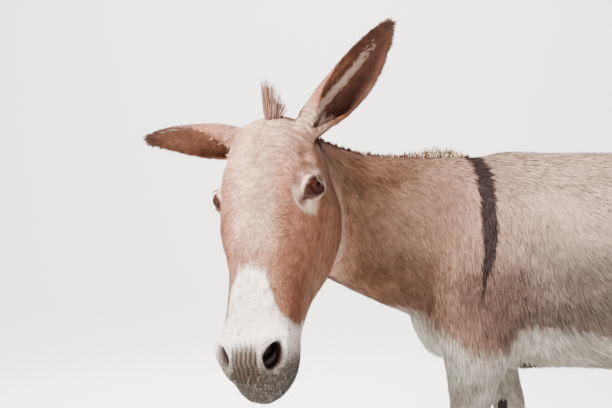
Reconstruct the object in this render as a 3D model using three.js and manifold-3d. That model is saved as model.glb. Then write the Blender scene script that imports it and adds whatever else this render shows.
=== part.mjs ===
// A grey-dun donkey, life size, standing with its head turned to its left. Millimetres, +Z up.
// It is modelled facing -X with its left side at -Y and the floor at z = 0, then moved so that the origin
// is the middle of the bottom of its bounding box. Each body part is a loft of cross-sections. The lofts are
// joined into one body, and thin cuts part that body into the pieces that a person would name.
import * as THREE from "three";
import { mergeVertices } from "three/addons/utils/BufferGeometryUtils.js";
import Module from "manifold-3d";

const wasm = await Module();
wasm.setup();

// ---------------------------------------------------------------- driving dimensions
const GAP = 0.3; // width of the cut between two pieces
const BACK_HEIGHT = 1150; // floor to the top of the withers
const HEAD_LENGTH = 535; // poll to the tip of the upper lip
const HEAD_STATIONS_LENGTH = 520; // the head's stations below run to this length and are scaled
const EAR_LENGTH = 280;
const EAR_WALL = 6;
const EAR_ROOT = 20; // how far up the ear the cut at its root lies
const EYE_RADIUS = 22;
const MOUTH_CORNER = 398; // how far down the head the mouth starts
const MOUTH_HEIGHT = -84; // and how deep it lies under the bridge of the nose
const HOOF_HEIGHT = 60;
const TAIL_LENGTH = 640;

const POLL = new THREE.Vector3(-452, -308, 1198); // top of the skull between the ears
const HEAD_YAW = 24; // degrees the face is turned forward from straight left
const HEAD_PITCH = 25; // degrees the face leans out of the vertical
const HEAD_ROLL = 8.8; // degrees the face leans over sideways

// ---------------------------------------------------------------- lofting
const rad = THREE.MathUtils.degToRad;
const vec = (x, y, z) => new THREE.Vector3(x, y, z);

// A smooth function through a table whose first column is the parameter.
function smooth(table) {
  const columns = table[0].length - 1;
  const fit = new THREE.CubicInterpolant(
    table.map((row) => row[0]),
    table.flatMap((row) => row.slice(1)),
    columns,
  );
  return (t) => Array.from(fit.evaluate(t));
}

// Parameters from the table's first row to its last, a little closer together at both ends.
function spread(table, count) {
  const first = table[0][0];
  const last = table[table.length - 1][0];
  return Array.from({ length: count }, (_, i) => {
    const even = i / (count - 1);
    const eased = 0.5 - 0.5 * Math.cos(Math.PI * even);
    return first + (last - first) * (0.6 * even + 0.4 * eased);
  });
}

// Rings of equal length, joined side by side and closed at both ends by a fan to the end ring's middle.
function loft(rings) {
  const around = rings[0].length;
  const points = rings.flat();
  const faces = [];
  for (let i = 0; i + 1 < rings.length; i++) {
    for (let k = 0; k < around; k++) {
      const a = i * around + k;
      const b = i * around + ((k + 1) % around);
      faces.push(a, b, a + around, b, b + around, a + around);
    }
  }
  for (const [i, flip] of [[0, true], [rings.length - 1, false]]) {
    const middle = points.length;
    points.push(rings[i].reduce((sum, p) => sum.add(p), vec(0, 0, 0)).divideScalar(around));
    for (let k = 0; k < around; k++) {
      const a = i * around + k;
      const b = i * around + ((k + 1) % around);
      faces.push(...(flip ? [middle, b, a] : [middle, a, b]));
    }
  }
  return { points, faces };
}

// A closed shell of points and faces as a solid, turned so that its faces point out.
function solid({ points, faces }) {
  let volume = 0;
  for (let i = 0; i < faces.length; i += 3) {
    const [a, b, c] = [points[faces[i]], points[faces[i + 1]], points[faces[i + 2]]];
    volume += a.dot(vec(0, 0, 0).crossVectors(b, c));
  }
  const turned = volume < 0;
  const triVerts = new Uint32Array(faces.length);
  for (let i = 0; i < faces.length; i += 3) {
    triVerts.set(turned ? [faces[i], faces[i + 2], faces[i + 1]] : faces.slice(i, i + 3), i);
  }
  const vertProperties = new Float32Array(points.flatMap((p) => [p.x, p.y, p.z]));
  return new wasm.Manifold(new wasm.Mesh({ numProp: 3, vertProperties, triVerts }));
}

// A three.js geometry as a solid.
function solidOf(geometry) {
  const merged = mergeVertices(geometry.clone().deleteAttribute("normal").deleteAttribute("uv"), 1e-4);
  const place = merged.attributes.position;
  const points = Array.from({ length: place.count }, (_, i) => vec(0, 0, 0).fromBufferAttribute(place, i));
  return solid({ points, faces: Array.from(merged.index.array) });
}

// A half ellipse each way: `up` and `down` are its two heights, `half` its half width.
// An exponent of 2 is round, less is pointed and more is square.
function oval(around, half, up, down, upShape = 2, downShape = 2) {
  return Array.from({ length: around }, (_, k) => {
    const angle = (2 * Math.PI * k) / around;
    const c = Math.cos(angle);
    const s = Math.sin(angle);
    const shape = 2 / (c > 0 ? upShape : downShape);
    const across = half * Math.sign(s) * Math.abs(s) ** shape;
    const high = (c > 0 ? up : down) * Math.sign(c) * Math.abs(c) ** shape;
    return [across, high];
  });
}

// Moves points by a soft bump: `push` at `at`, fading to nothing at about twice `radius`.
function bump(points, at, radius, push) {
  for (const p of points) {
    const share = Math.exp(-p.distanceToSquared(at) / (radius * radius));
    if (share > 0.002) p.addScaledVector(push, share);
  }
}

// The same bump on both sides of the middle plane, where `flip` turns a point over.
function twinBump(points, at, radius, push, flip) {
  bump(points, at, radius, push);
  bump(points, flip(at.clone()), radius, flip(push.clone()));
}

const flipY = (p) => p.setY(-p.y);
const flipZ = (p) => p.setZ(-p.z);

// ---------------------------------------------------------------- trunk
// x, top, bottom, half width, height of the widest line, shape of the top, shape of the belly
const trunkTable = [
  [-128, 860, 752, 26, 806, 2, 2.1],
  [-118, 910, 716, 78, 812, 2, 2.2],
  [-85, 985, 686, 122, 822, 2, 2.2],
  [-35, 1070, 664, 144, 838, 1.9, 2.1],
  [30, 1136, 650, 154, 850, 1.75, 2],
  [90, BACK_HEIGHT, 648, 165, 855, 1.7, 2.1],
  [170, BACK_HEIGHT - 3, 652, 180, 860, 1.85, 2.2],
  [280, BACK_HEIGHT - 3, 650, 196, 862, 2, 2.2],
  [400, BACK_HEIGHT - 3, 638, 208, 858, 2.05, 2.1],
  [530, BACK_HEIGHT + 1, 640, 210, 862, 2.05, 2.1],
  [640, BACK_HEIGHT + 10, 668, 204, 880, 2, 2.1],
  [740, BACK_HEIGHT + 14, 722, 196, 905, 1.9, 2.1],
  [830, BACK_HEIGHT - 5, 770, 184, 930, 1.85, 2.1],
  [910, BACK_HEIGHT - 48, 800, 160, 940, 1.9, 2],
  [970, BACK_HEIGHT - 108, 830, 122, 935, 2, 2],
  [1008, BACK_HEIGHT - 180, 865, 70, 925, 2, 2],
  [1020, BACK_HEIGHT - 215, 890, 28, 918, 2, 2],
];

function trunk() {
  const at = smooth(trunkTable);
  const rings = spread(trunkTable, 21).map((x) => {
    const [top, bottom, half, wide, upShape, downShape] = at(x);
    return oval(18, half, top - wide, wide - bottom, upShape, downShape).map(([across, high]) =>
      vec(x, across, wide + high),
    );
  });
  const shell = loft(rings);
  const { points } = shell;
  twinBump(points, vec(-20, -130, 880), 90, vec(-4, -10, 0), flipY); // shoulder blade
  twinBump(points, vec(-70, -95, 770), 60, vec(-6, -12, 0), flipY); // point of the shoulder
  twinBump(points, vec(150, -165, 700), 70, vec(0, 14, 0), flipY); // hollow behind the elbow
  twinBump(points, vec(650, -190, 1050), 60, vec(0, -12, 6), flipY); // point of the hip
  twinBump(points, vec(640, -200, 850), 90, vec(0, 14, 0), flipY); // flank
  bump(points, vec(-120, 0, 850), 40, vec(8, 0, 0)); // groove down the breast
  return solid(shell);
}

// ---------------------------------------------------------------- neck
// place along, x, y, z of the middle, height above it, depth below it, half width
const neckTable = [
  [0, 90, 0, 935, 205, 205, 148],
  [1, -50, -6, 955, 184, 206, 122],
  [2, -162, -36, 972, 164, 180, 100],
  [3, -260, -92, 994, 145, 152, 87],
  [4, -338, -168, 1022, 134, 132, 79],
  [5, -388, -244, 1056, 122, 114, 73],
  [6, -418, -294, 1086, 98, 98, 64],
];

// The ring's frame at a place along the neck: across is level, and high leans with the neck.
function neckFrame(at, t) {
  const [x, y, z] = at(t);
  const before = vec(...at(t - 0.05).slice(0, 3));
  const after = vec(...at(t + 0.05).slice(0, 3));
  const along = after.sub(before).normalize();
  const across = vec(0, 0, 0).crossVectors(vec(0, 0, 1), along).normalize();
  const high = vec(0, 0, 0).crossVectors(along, across);
  return { middle: vec(x, y, z), across, high };
}

function neck() {
  const at = smooth(neckTable);
  const rings = spread(neckTable, 12).map((t) => {
    const { middle, across, high } = neckFrame(at, Math.min(Math.max(t, 0.05), 5.95));
    const [, , , up, down, half] = at(t);
    return oval(18, half, up, down, 1.75, 1.9).map(([a, h]) =>
      middle.clone().addScaledVector(across, a).addScaledVector(high, h),
    );
  });
  return solid(loft(rings));
}

// The mane stands along the crest, low and stiff, and is longest just in front of the withers.
// place along the neck, height above the middle, how far it stands up from the crest, half thickness
const maneTable = [
  [0.75, 172, 4, 7],
  [1.0, 166, 20, 10],
  [1.3, 158, 33, 12],
  [1.6, 150, 27, 12],
  [2.1, 138, 12, 10],
  [3.2, 120, 10, 9],
  [4.2, 112, 11, 9],
  [5.2, 100, 14, 9],
  [5.8, 84, 14, 8],
];

function mane() {
  const along = smooth(neckTable);
  const at = smooth(maneTable);
  const rings = spread(maneTable, 13).map((t) => {
    const { middle, across, high } = neckFrame(along, t);
    const [root, rise, half] = at(t);
    const [, , , up] = along(t);
    const height = up - root + rise;
    return oval(6, half, height, 6, 1.6, 2).map(([a, h]) =>
      middle.clone().addScaledVector(across, a).addScaledVector(high, root + h),
    );
  });
  return solid(loft(rings));
}

// ---------------------------------------------------------------- head
// The head has its own axes: x runs down the face from the poll, y out of the face and z to the donkey's left.
// x, top, brow half width, brow height, side half width, side height, cheek half width, cheek height,
// jaw half width, jaw height, bottom
const headTable = [
  [-8, -30, 26, -36, 44, -62, 46, -100, 30, -132, -140],
  [6, -4, 40, -12, 62, -48, 60, -100, 40, -150, -163],
  [40, 9, 52, 0, 78, -44, 74, -116, 50, -187, -206],
  [80, 17, 59, 8, 91, -40, 82, -132, 54, -214, -232],
  [118, 20, 64, 11, 100, -38, 87, -138, 56, -225, -243],
  [152, 19, 66, 9, 104, -38, 89, -140, 58, -229, -247],
  [185, 15, 63, 5, 102, -42, 89, -138, 59, -228, -246],
  [220, 10, 54, 2, 92, -45, 87, -132, 57, -220, -239],
  [260, 5, 44, -2, 77, -46, 79, -125, 54, -202, -220],
  [300, 2, 37, -5, 66, -44, 70, -112, 48, -173, -187],
  [340, 0, 34, -7, 62, -40, 63, -99, 45, -144, -156],
  [380, 0, 34, -7, 61, -36, 60, -89, 43, -126, -137],
  [415, 1, 37, -5, 65, -31, 60, -82, 43, -118, -129],
  [445, 1, 42, -5, 67, -30, 61, -80, 43, -118, -130],
  [470, -5, 38, -12, 57, -36, 57, -79, 42, -113, -126],
  [490, -17, 30, -24, 43, -46, 47, -79, 37, -105, -117],
  [507, -36, 23, -42, 31, -57, 34, -79, 27, -96, -104],
  [HEAD_STATIONS_LENGTH, -60, 11, -63, 15, -69, 15, -79, 10, -86, -88],
];

// The middle of each eye in the head's axes
const eyes = { eye_left: vec(156, -37, 91), eye_right: vec(149, -37, -88) };

// One cross-section of the head: a smooth closed curve through its named widths.
function headRing(at, x, around) {
  const [top, browW, browH, sideW, sideH, cheekW, cheekH, jawW, jawH, bottom] = at(x);
  const half = [
    [browW * 0.55, browH + (top - browH) * 0.72],
    [browW, browH],
    [sideW, sideH],
    [cheekW, cheekH],
    [jawW, jawH],
  ];
  const corners = [
    vec(x, top, 0),
    ...half.map(([w, h]) => vec(x, h, w)),
    vec(x, bottom, 0),
    ...half.reverse().map(([w, h]) => vec(x, h, -w)),
  ];
  return new THREE.CatmullRomCurve3(corners, true, "centripetal").getSpacedPoints(around).slice(0, around);
}

// Where the head's own axes lie on the donkey.
function headMatrix() {
  const facing = vec(-Math.sin(rad(HEAD_YAW)), -Math.cos(rad(HEAD_YAW)), 0);
  const down = vec(0, 0, -Math.cos(rad(HEAD_PITCH))).addScaledVector(facing, Math.sin(rad(HEAD_PITCH)));
  const out = vec(0, 0, Math.sin(rad(HEAD_PITCH))).addScaledVector(facing, Math.cos(rad(HEAD_PITCH)));
  const left = vec(0, 0, 0).crossVectors(vec(0, 0, 1), facing);
  const axes = [down, out, left].map((axis) => axis.applyAxisAngle(facing, rad(HEAD_ROLL)));
  const size = HEAD_LENGTH / HEAD_STATIONS_LENGTH;
  return new THREE.Matrix4()
    .makeBasis(...axes)
    .scale(vec(size, size, size))
    .setPosition(POLL);
}

const placeHead = headMatrix();

function placed(shell, matrix) {
  shell.points.forEach((p) => p.applyMatrix4(matrix));
  return shell;
}

function skull() {
  const at = smooth(headTable);
  const rings = spread(headTable, 29).map((x) => headRing(at, x, 24));
  const shell = loft(rings);
  const { points } = shell;
  const twin = (at_, radius, push) => twinBump(points, at_, radius, push, flipZ);
  twin(vec(140, -22, 100), 26, vec(0, 4, 8)); // brow over the eye
  twin(vec(100, -8, 70), 20, vec(0, -6, -3)); // hollow above the eye
  twin(vec(182, -52, 96), 20, vec(0, 0, 3)); // bone under the eye
  twin(vec(235, -70, 78), 26, vec(0, 0, 5)); // face ridge
  twin(vec(275, -66, 66), 24, vec(0, 0, 4));
  twin(vec(300, -108, 60), 34, vec(0, 0, -7)); // hollow in front of the cheek
  twin(vec(150, -165, 76), 55, vec(0, 0, 7)); // cheek muscle
  twin(vec(432, -22, 56), 18, vec(0, 2, 5)); // wing of the nostril
  twin(vec(395, -88, 48), 20, vec(0, 0, -4)); // corner of the mouth
  bump(points, vec(448, -116, 0), 26, vec(0, -8, 0)); // chin
  bump(points, vec(60, 12, 0), 30, vec(0, 5, 0)); // forehead under the forelock
  return solid(placed(shell, placeHead));
}

// An egg in the head's own axes, turned about the head's out axis.
function headEgg(centre, radii, turn, side, lift) {
  const egg = new THREE.SphereGeometry(1, 12, 8);
  const matrix = new THREE.Matrix4()
    .makeTranslation(centre.x, centre.y, centre.z * side)
    .multiply(new THREE.Matrix4().makeRotationX(rad(lift * side)))
    .multiply(new THREE.Matrix4().makeRotationY(rad(turn * side)))
    .multiply(new THREE.Matrix4().makeScale(...radii));
  egg.applyMatrix4(placeHead.clone().multiply(matrix));
  return solidOf(egg);
}

function eyeball(name, grow = 0) {
  const centre = eyes[name].clone().applyMatrix4(placeHead);
  const ball = new THREE.SphereGeometry(EYE_RADIUS + grow, 14, 8);
  ball.translate(...centre.toArray());
  return solidOf(ball);
}

const nostril = (side) => headEgg(vec(452, -6, 45), [25, 24, 11], 34, side, -14);

// The opening between the lids lies out from the eye, on its front side.
function eyeOpening(name) {
  const { x, y, z } = eyes[name];
  return headEgg(vec(x + 3, y + 6, Math.abs(z) + 22), [24, 17, 14], 16, Math.sign(z), -20);
}

// The slit between the lips, from the front of the mouth to its corners.
function mouthSlit() {
  const clear = HEAD_STATIONS_LENGTH + 10; // just past the lips
  const rings = spread([[MOUTH_CORNER], [clear]], 8).map((x) => {
    const share = (x - MOUTH_CORNER) / (clear - MOUTH_CORNER);
    const height = MOUTH_HEIGHT + 8 * share ** 2;
    const open = 0.4 + 1.6 * share;
    return oval(6, 90, open, open, 2, 2).map(([across, high]) => vec(x, height + high, across));
  });
  return solid(placed(loft(rings), placeHead));
}

// ---------------------------------------------------------------- ears
// The ear's own axes: x runs up it, y out of its open side and z across it.
// place from base to tip, half width, depth of the cup, degrees that the wall reaches round each side
const earTable = [
  [-0.1, 26, 25, 178],
  [0.0, 31, 28, 170],
  [0.1, 37, 31, 150],
  [0.22, 43, 33, 124],
  [0.36, 45, 32, 108],
  [0.5, 44.5, 28, 98],
  [0.64, 41, 23, 92],
  [0.78, 33, 17, 88],
  [0.9, 22, 11, 84],
  [0.97, 11, 6, 80],
  [1.0, 5, 4, 76],
];

// Where each ear's root lies in the head's axes, the way it points, the way its open side faces and how far
// its middle bows to the side.
const ears = {
  ear_left: { base: [18, -40, 81], points: [152, 80, 206], opens: [0.3, -0.95, -0.1], bow: 12 },
  ear_right: { base: [28, -34, -58], points: [-210, 166, 24], opens: [0.0, -0.75, -0.66], bow: -6 },
};

function earMatrix({ base, points, opens }) {
  const up = vec(...points).normalize();
  const across = vec(0, 0, 0).crossVectors(up, vec(...opens)).normalize();
  const out = vec(0, 0, 0).crossVectors(across, up);
  return new THREE.Matrix4().makeBasis(up, out, across).setPosition(vec(...base).applyMatrix4(placeHead));
}

function ear(shape) {
  const at = smooth(earTable);
  const reach = 8; // points across the wall on each face
  const rings = spread(earTable, 13).map((t) => {
    const [half, depth, sweep] = at(t);
    const wall = Math.min(EAR_WALL, half * 0.5, depth * 0.8);
    const x = t * EAR_LENGTH;
    const lean = 16 * t * t; // the tip curls towards the open side
    const side = shape.bow * Math.sin(Math.PI * Math.max(t, 0));
    const outer = [];
    const inner = [];
    for (let k = 0; k < reach; k++) {
      const angle = rad(-sweep + (2 * sweep * k) / (reach - 1));
      const c = Math.cos(angle);
      const s = Math.sin(angle);
      outer.push(vec(x, lean - depth * c, side + half * s));
      inner.unshift(vec(x, lean - (depth - wall) * c, side + (half - wall) * s));
    }
    return [...outer, ...inner];
  });
  return solid(placed(loft(rings), earMatrix(shape)));
}

// ---------------------------------------------------------------- legs
// height, middle x, half depth to the front, half depth to the back, middle y, half width
const foreTable = [
  [850, 10, 80, 85, -88, 44],
  [790, 4, 90, 90, -98, 60],
  [730, 4, 84, 84, -107, 64],
  [680, 2, 70, 72, -110, 58],
  [630, 0, 55, 55, -110, 49],
  [570, -1, 47, 45, -108, 42],
  [500, -2, 40, 37, -106, 36],
  [430, -4, 35, 33, -104, 33],
  [390, -6, 38, 34, -104, 37],
  [360, -6, 37, 36, -104, 38],
  [328, -3, 31, 31, -104, 32],
  [296, 0, 25, 27, -104, 25],
  [240, 0, 22, 26, -104, 21],
  [190, 0, 23, 28, -104, 22],
  [156, -1, 29, 34, -104, 28],
  [132, -4, 28, 32, -104, 28],
  [104, -16, 25, 25, -104, 25],
  [80, -24, 27, 27, -104, 28],
  [HOOF_HEIGHT + 6, -30, 34, 34, -104, 35],
  [HOOF_HEIGHT - 8, -32, 34, 34, -104, 34],
];
const hindTable = [
  [1030, 850, 120, 120, -84, 66],
  [960, 846, 152, 150, -98, 82],
  [880, 842, 164, 160, -106, 88],
  [800, 836, 156, 150, -110, 84],
  [730, 832, 136, 130, -112, 76],
  [670, 840, 112, 104, -112, 64],
  [610, 862, 84, 78, -110, 52],
  [560, 884, 63, 60, -108, 43],
  [510, 908, 49, 54, -106, 35],
  [470, 922, 45, 58, -105, 34],
  [435, 923, 46, 52, -104, 37],
  [400, 918, 42, 42, -104, 35],
  [362, 912, 32, 34, -104, 28],
  [310, 908, 27, 28, -104, 23],
  [245, 906, 25, 26, -104, 21],
  [195, 906, 26, 29, -104, 23],
  [160, 904, 30, 35, -104, 29],
  [134, 900, 28, 33, -104, 28],
  [104, 887, 25, 25, -104, 25],
  [80, 879, 27, 27, -104, 28],
  [HOOF_HEIGHT + 6, 873, 33, 34, -104, 34],
  [HOOF_HEIGHT - 8, 871, 33, 34, -104, 33],
];

// How far each leg is carried forward (negative x) or back at the floor, and from which height it swings.
const legs = {
  foreleg_left: { table: foreTable, side: 1, upper: -10, foot: -16, pivot: 760, top: 646, middle: 350 },
  foreleg_right: { table: foreTable, side: -1, upper: 70, foot: 240, pivot: 830, top: 646, middle: 350 },
  hindleg_left: { table: hindTable, side: 1, upper: 6, foot: 60, pivot: 900, top: 680, middle: 420 },
  hindleg_right: { table: hindTable, side: -1, upper: -6, foot: -90, pivot: 900, top: 680, middle: 420 },
};

// The sideways shift in x of a leg at a height.
function carried({ upper, foot, pivot }, z) {
  const share = THREE.MathUtils.clamp((pivot - z) / pivot, 0, 1);
  const start = THREE.MathUtils.smoothstep(share, 0, 0.35);
  return upper * start + (foot - upper) * share;
}

function leg(shape) {
  const { table, side } = shape;
  const rising = [...table].reverse();
  const at = smooth(rising);
  const rings = spread(rising, 19).map((z) => {
    const [x, front, back, y, half] = at(z);
    return oval(12, half, back, front, 2.1, 2.1).map(([across, along]) =>
      vec(x + carried(shape, z) + along, side * (y + across), z),
    );
  });
  return solid(loft(rings));
}

// The hoof: height, half length to the front, half length to the back, half width
const hoofTable = [
  [0, 63, 46, 42],
  [4, 63, 46, 42],
  [HOOF_HEIGHT * 0.5, 52, 43, 39],
  [HOOF_HEIGHT - 5, 39, 37, 35.5],
  [HOOF_HEIGHT, 36, 35, 34],
];

function hoof(shape) {
  const { table, side } = shape;
  const foot = table[table.length - 1];
  const at = smooth(hoofTable);
  const rings = hoofTable.map(([z]) => {
    const [front, back, half] = at(z);
    const middle = foot[1] + carried(shape, foot[0]);
    return oval(12, half, back, front, 2.5, 2.2).map(([across, along]) =>
      vec(middle + along, side * (foot[4] + across), z),
    );
  });
  return solid(loft(rings));
}

// ---------------------------------------------------------------- tail
// place along, x, z, half depth, half width
const tailTable = [
  [0, 915, 1052, 30, 36],
  [1, 974, 1026, 28, 33],
  [2, 1036, 984, 24, 28],
  [3, 1049, 915, 21, 22],
  [4, 1055, 828, 19, 18],
  [5, 1056, 740, 19, 18],
  [6, 1058, 650, 28, 26],
  [7, 1058, 565, 33, 29],
  [8, 1056, 492, 24, 21],
  [9, 1054, 1080 - TAIL_LENGTH, 5, 5],
];

function tail() {
  const at = smooth(tailTable);
  const rings = spread(tailTable, 15).map((t) => {
    const [x, z, deep, half] = at(t);
    const [x0, z0] = at(Math.max(t - 0.05, 0));
    const [x1, z1] = at(Math.min(t + 0.05, 9));
    const along = vec(x1 - x0, 0, z1 - z0).normalize();
    const high = vec(-along.z, 0, along.x);
    return oval(8, half, deep, deep).map(([a, h]) => vec(x, a, z).addScaledVector(high, h));
  });
  return solid(loft(rings));
}

// ---------------------------------------------------------------- forelock
// height, x and y of the middle, half thickness
const forelockTable = [
  [-12, 5, 0, 11],
  [8, 4, 0, 12],
  [26, 2, 2, 9],
  [42, -1, 4, 6],
  [60, -4, 5, 2],
];

function forelock() {
  const at = smooth(forelockTable);
  const root = vec(10, 2, 13).applyMatrix4(placeHead);
  const rings = spread(forelockTable, 7).map((z) => {
    const [x, y, half] = at(z);
    return oval(8, half, half, half).map(([a, b]) => vec(root.x + x + a, root.y + y + b, root.z + z));
  });
  return solid(loft(rings));
}

// ---------------------------------------------------------------- cutting into pieces
const inHead = (x, y, z) => vec(x, y, z).applyMatrix4(placeHead);
const headWay = (x, y, z) => vec(x, y, z).transformDirection(placeHead);

// A box with its middle at `point`, `thick` along `way` and `long` by `wide` across it. Its wide side is
// square to `edge`.
function slab(point, way, long, wide, thick = GAP, edge = vec(0, 1, 0)) {
  const z = way.clone().normalize();
  const x = vec(0, 0, 0).crossVectors(edge, z).normalize();
  const y = vec(0, 0, 0).crossVectors(z, x);
  const matrix = new THREE.Matrix4().makeBasis(x, y, z).setPosition(point);
  return solidOf(new THREE.BoxGeometry(long, wide, thick).applyMatrix4(matrix));
}

// The thin cuts that part the body.
function cuts() {
  const level = vec(0, 0, 1);
  const found = [
    slab(inHead(70, -168, 0), headWay(0.69, 0.72, 0), 560, 420, GAP, headWay(0, 0, 1)), // behind the jaw
    slab(vec(-50, 0, 970), vec(-0.874, 0, 0.486), 540, 420), // in front of the shoulder
    slab(vec(1024, 0, 999), vec(0.66, 0, -0.75), 84, 80), // root of the tail
    slab(vec(1057, 0, 700), level, 90, 90), // top of the switch
    slab(inHead(MOUTH_CORNER + 1, MOUTH_HEIGHT - 45, 0), headWay(1, 0, 0), 94, 200, GAP, headWay(0, 0, 1)),
    mouthSlit(),
  ];
  for (const shape of Object.values(legs)) {
    const at = smooth([...shape.table].reverse());
    for (const height of [shape.top, shape.middle, HOOF_HEIGHT]) {
      const [x, front, back, y] = at(height);
      const middle = vec(x + carried(shape, height) + (back - front) / 2, shape.side * y, height);
      found.push(slab(middle, level, front + back + 30, 150));
    }
  }
  return found;
}

// A point in or near each piece of the cut body.
function marks() {
  const found = {
    head: inHead(150, -100, 0),
    lower_lip: inHead(460, -110, 0),
    neck: vec(-230, -70, 985),
    trunk: vec(420, 0, 890),
    tail_dock: vec(1055, 0, 850),
    tail_switch: vec(1058, 0, 580),
  };
  for (const [name, shape] of Object.entries(legs)) {
    const at = smooth([...shape.table].reverse());
    const parts = { upper: (shape.top + shape.middle) / 2, lower: (shape.middle + HOOF_HEIGHT) / 2, hoof: 30 };
    for (const [part, z] of Object.entries(parts)) {
      const height = Math.max(z, HOOF_HEIGHT);
      const [x, , , y] = at(height);
      found[`${name}_${part}`] = vec(x + carried(shape, height), shape.side * y, z);
    }
  }
  return found;
}

// The ear above the cut at its root, and the short root below it, which stays on the head.
function partEar(shape) {
  const whole = ear(shape);
  const way = vec(...shape.points).normalize();
  const cut = inHead(...shape.base).addScaledVector(way, EAR_ROOT);
  const above = (from) => slab(from.addScaledVector(way, EAR_LENGTH), way, 300, 300, 2 * EAR_LENGTH);
  return {
    blade: whole.intersect(above(cut.clone())),
    root: whole.subtract(above(cut.clone().addScaledVector(way, -GAP))),
  };
}

function largest(made) {
  return made.decompose().reduce((a, b) => (a.volume() > b.volume() ? a : b));
}

// ---------------------------------------------------------------- the whole animal
function animal() {
  const parts = new Map();
  let head = skull();
  for (const name of Object.keys(eyes)) {
    head = head.subtract(eyeOpening(name)).subtract(eyeball(name, GAP));
    parts.set(name, eyeball(name));
  }
  for (const side of [1, -1]) head = head.subtract(nostril(side));
  const blades = Object.entries(ears).map(([name, shape]) => [name, partEar(shape)]);
  const joined = [
    trunk(),
    neck(),
    head,
    tail(),
    ...blades.map(([, { root }]) => root),
    ...Object.values(legs).flatMap((shape) => [leg(shape), hoof(shape)]),
  ].reduce((a, b) => a.add(b));
  for (const [name, { blade }] of blades) parts.set(name, largest(blade.subtract(joined.translate(0, 0, GAP))));
  for (const [name, made] of [["mane", mane()], ["forelock", forelock()]]) {
    parts.set(name, largest(made.subtract(joined.translate(0, 0, GAP))));
  }
  const loose = cuts().reduce((body, cut) => body.subtract(cut), joined).decompose();
  for (const [name, mark] of Object.entries(marks())) {
    const far = (made) => {
      const { min, max } = made.boundingBox();
      return vec((min[0] + max[0]) / 2, (min[1] + max[1]) / 2, (min[2] + max[2]) / 2).distanceTo(mark);
    };
    loose.sort((a, b) => far(a) - far(b));
    parts.set(name, loose.shift());
  }
  const crumbs = loose.reduce((sum, made) => sum + made.volume(), 0);
  if (crumbs > 10) throw new Error(`${loose.length} unnamed pieces of ${crumbs.toFixed(0)} cubic mm`);
  return parts;
}

// ---------------------------------------------------------------- colours and the finished group
const looks = [
  [/^eye/, 0x1d120c, 0.15],
  [/hoof$/, 0x4a4038, 0.6],
  [/^mane|^forelock/, 0x5c3d2c, 0.95],
  [/switch$/, 0x4a342a, 0.95],
  [/^lower_lip/, 0x55504c, 0.85],
  [/^ear/, 0x8a5f48, 0.95],
  [/^(fore|hind)leg/, 0xb9aba0, 0.95],
  [/./, 0xa08878, 0.95],
];

function meshOf(name, made) {
  const { vertProperties, triVerts } = made.getMesh();
  const geometry = new THREE.BufferGeometry();
  geometry.setAttribute("position", new THREE.BufferAttribute(vertProperties, 3));
  geometry.setIndex(new THREE.BufferAttribute(triVerts, 1));
  const [, color, roughness] = looks.find(([pattern]) => pattern.test(name));
  const mesh = new THREE.Mesh(geometry, new THREE.MeshStandardMaterial({ color, roughness, metalness: 0 }));
  mesh.name = name;
  return mesh;
}

const donkey = new THREE.Group();
donkey.name = "donkey";
for (const [name, made] of animal()) donkey.add(meshOf(name, made));

const bounds = new THREE.Box3().setFromObject(donkey);
const shift = vec(-(bounds.min.x + bounds.max.x) / 2, -(bounds.min.y + bounds.max.y) / 2, -bounds.min.z);
for (const mesh of donkey.children) mesh.geometry.translate(...shift.toArray());

export default donkey;
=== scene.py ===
import math
import time

import bmesh
import bpy
import numpy as np
from mathutils import Matrix, Vector
from mathutils.bvhtree import BVHTree


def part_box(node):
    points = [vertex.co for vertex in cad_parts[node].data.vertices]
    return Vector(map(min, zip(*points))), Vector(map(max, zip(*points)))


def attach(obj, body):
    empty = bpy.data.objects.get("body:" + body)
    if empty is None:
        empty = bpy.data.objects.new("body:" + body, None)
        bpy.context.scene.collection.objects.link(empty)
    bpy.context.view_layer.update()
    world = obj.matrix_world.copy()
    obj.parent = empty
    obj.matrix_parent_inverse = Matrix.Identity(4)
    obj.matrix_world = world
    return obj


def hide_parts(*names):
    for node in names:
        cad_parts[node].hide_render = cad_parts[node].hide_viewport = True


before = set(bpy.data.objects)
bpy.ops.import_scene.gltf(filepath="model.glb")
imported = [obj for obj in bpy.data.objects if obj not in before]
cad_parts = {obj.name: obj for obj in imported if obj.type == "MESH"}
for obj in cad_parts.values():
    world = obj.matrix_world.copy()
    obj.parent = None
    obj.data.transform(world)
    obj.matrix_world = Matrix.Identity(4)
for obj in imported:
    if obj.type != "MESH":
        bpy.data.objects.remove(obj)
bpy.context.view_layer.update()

started = time.time()
scene = bpy.context.scene


def report(stage):
    print(f"donkey: {stage} at {time.time() - started:.1f} s")


# Places on the animal.
# The donkey's own frame has its floor at z = 0, its nose to -x and its left side to -y, in metres.
headPose = {
    "poll": (-0.452, -0.308, 1.198),
    "yaw": 24.0,  # degrees forward from straight left
    "pitch": 25.0,  # degrees out of the vertical
    "roll": 8.8,  # degrees over sideways
    "scale": 0.535 / 0.520,
    "eye": (0.156, -0.037, 0.091),  # the left one: down the face, out of the face, to the donkey's left
}
eyeRadius = 0.022


def headAxes(pose):
    yaw, pitch, roll = (math.radians(pose[k]) for k in ("yaw", "pitch", "roll"))
    up = Vector((0, 0, 1))
    facing = Vector((-math.sin(yaw), -math.cos(yaw), 0))
    down = -math.cos(pitch) * up + math.sin(pitch) * facing
    out = math.sin(pitch) * up + math.cos(pitch) * facing
    left = up.cross(facing)
    turn = Matrix.Rotation(roll, 3, facing)
    return [turn @ axis for axis in (down, out, left)]


def boxMiddle(node):
    low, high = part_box(node)
    return (low + high) / 2


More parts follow.
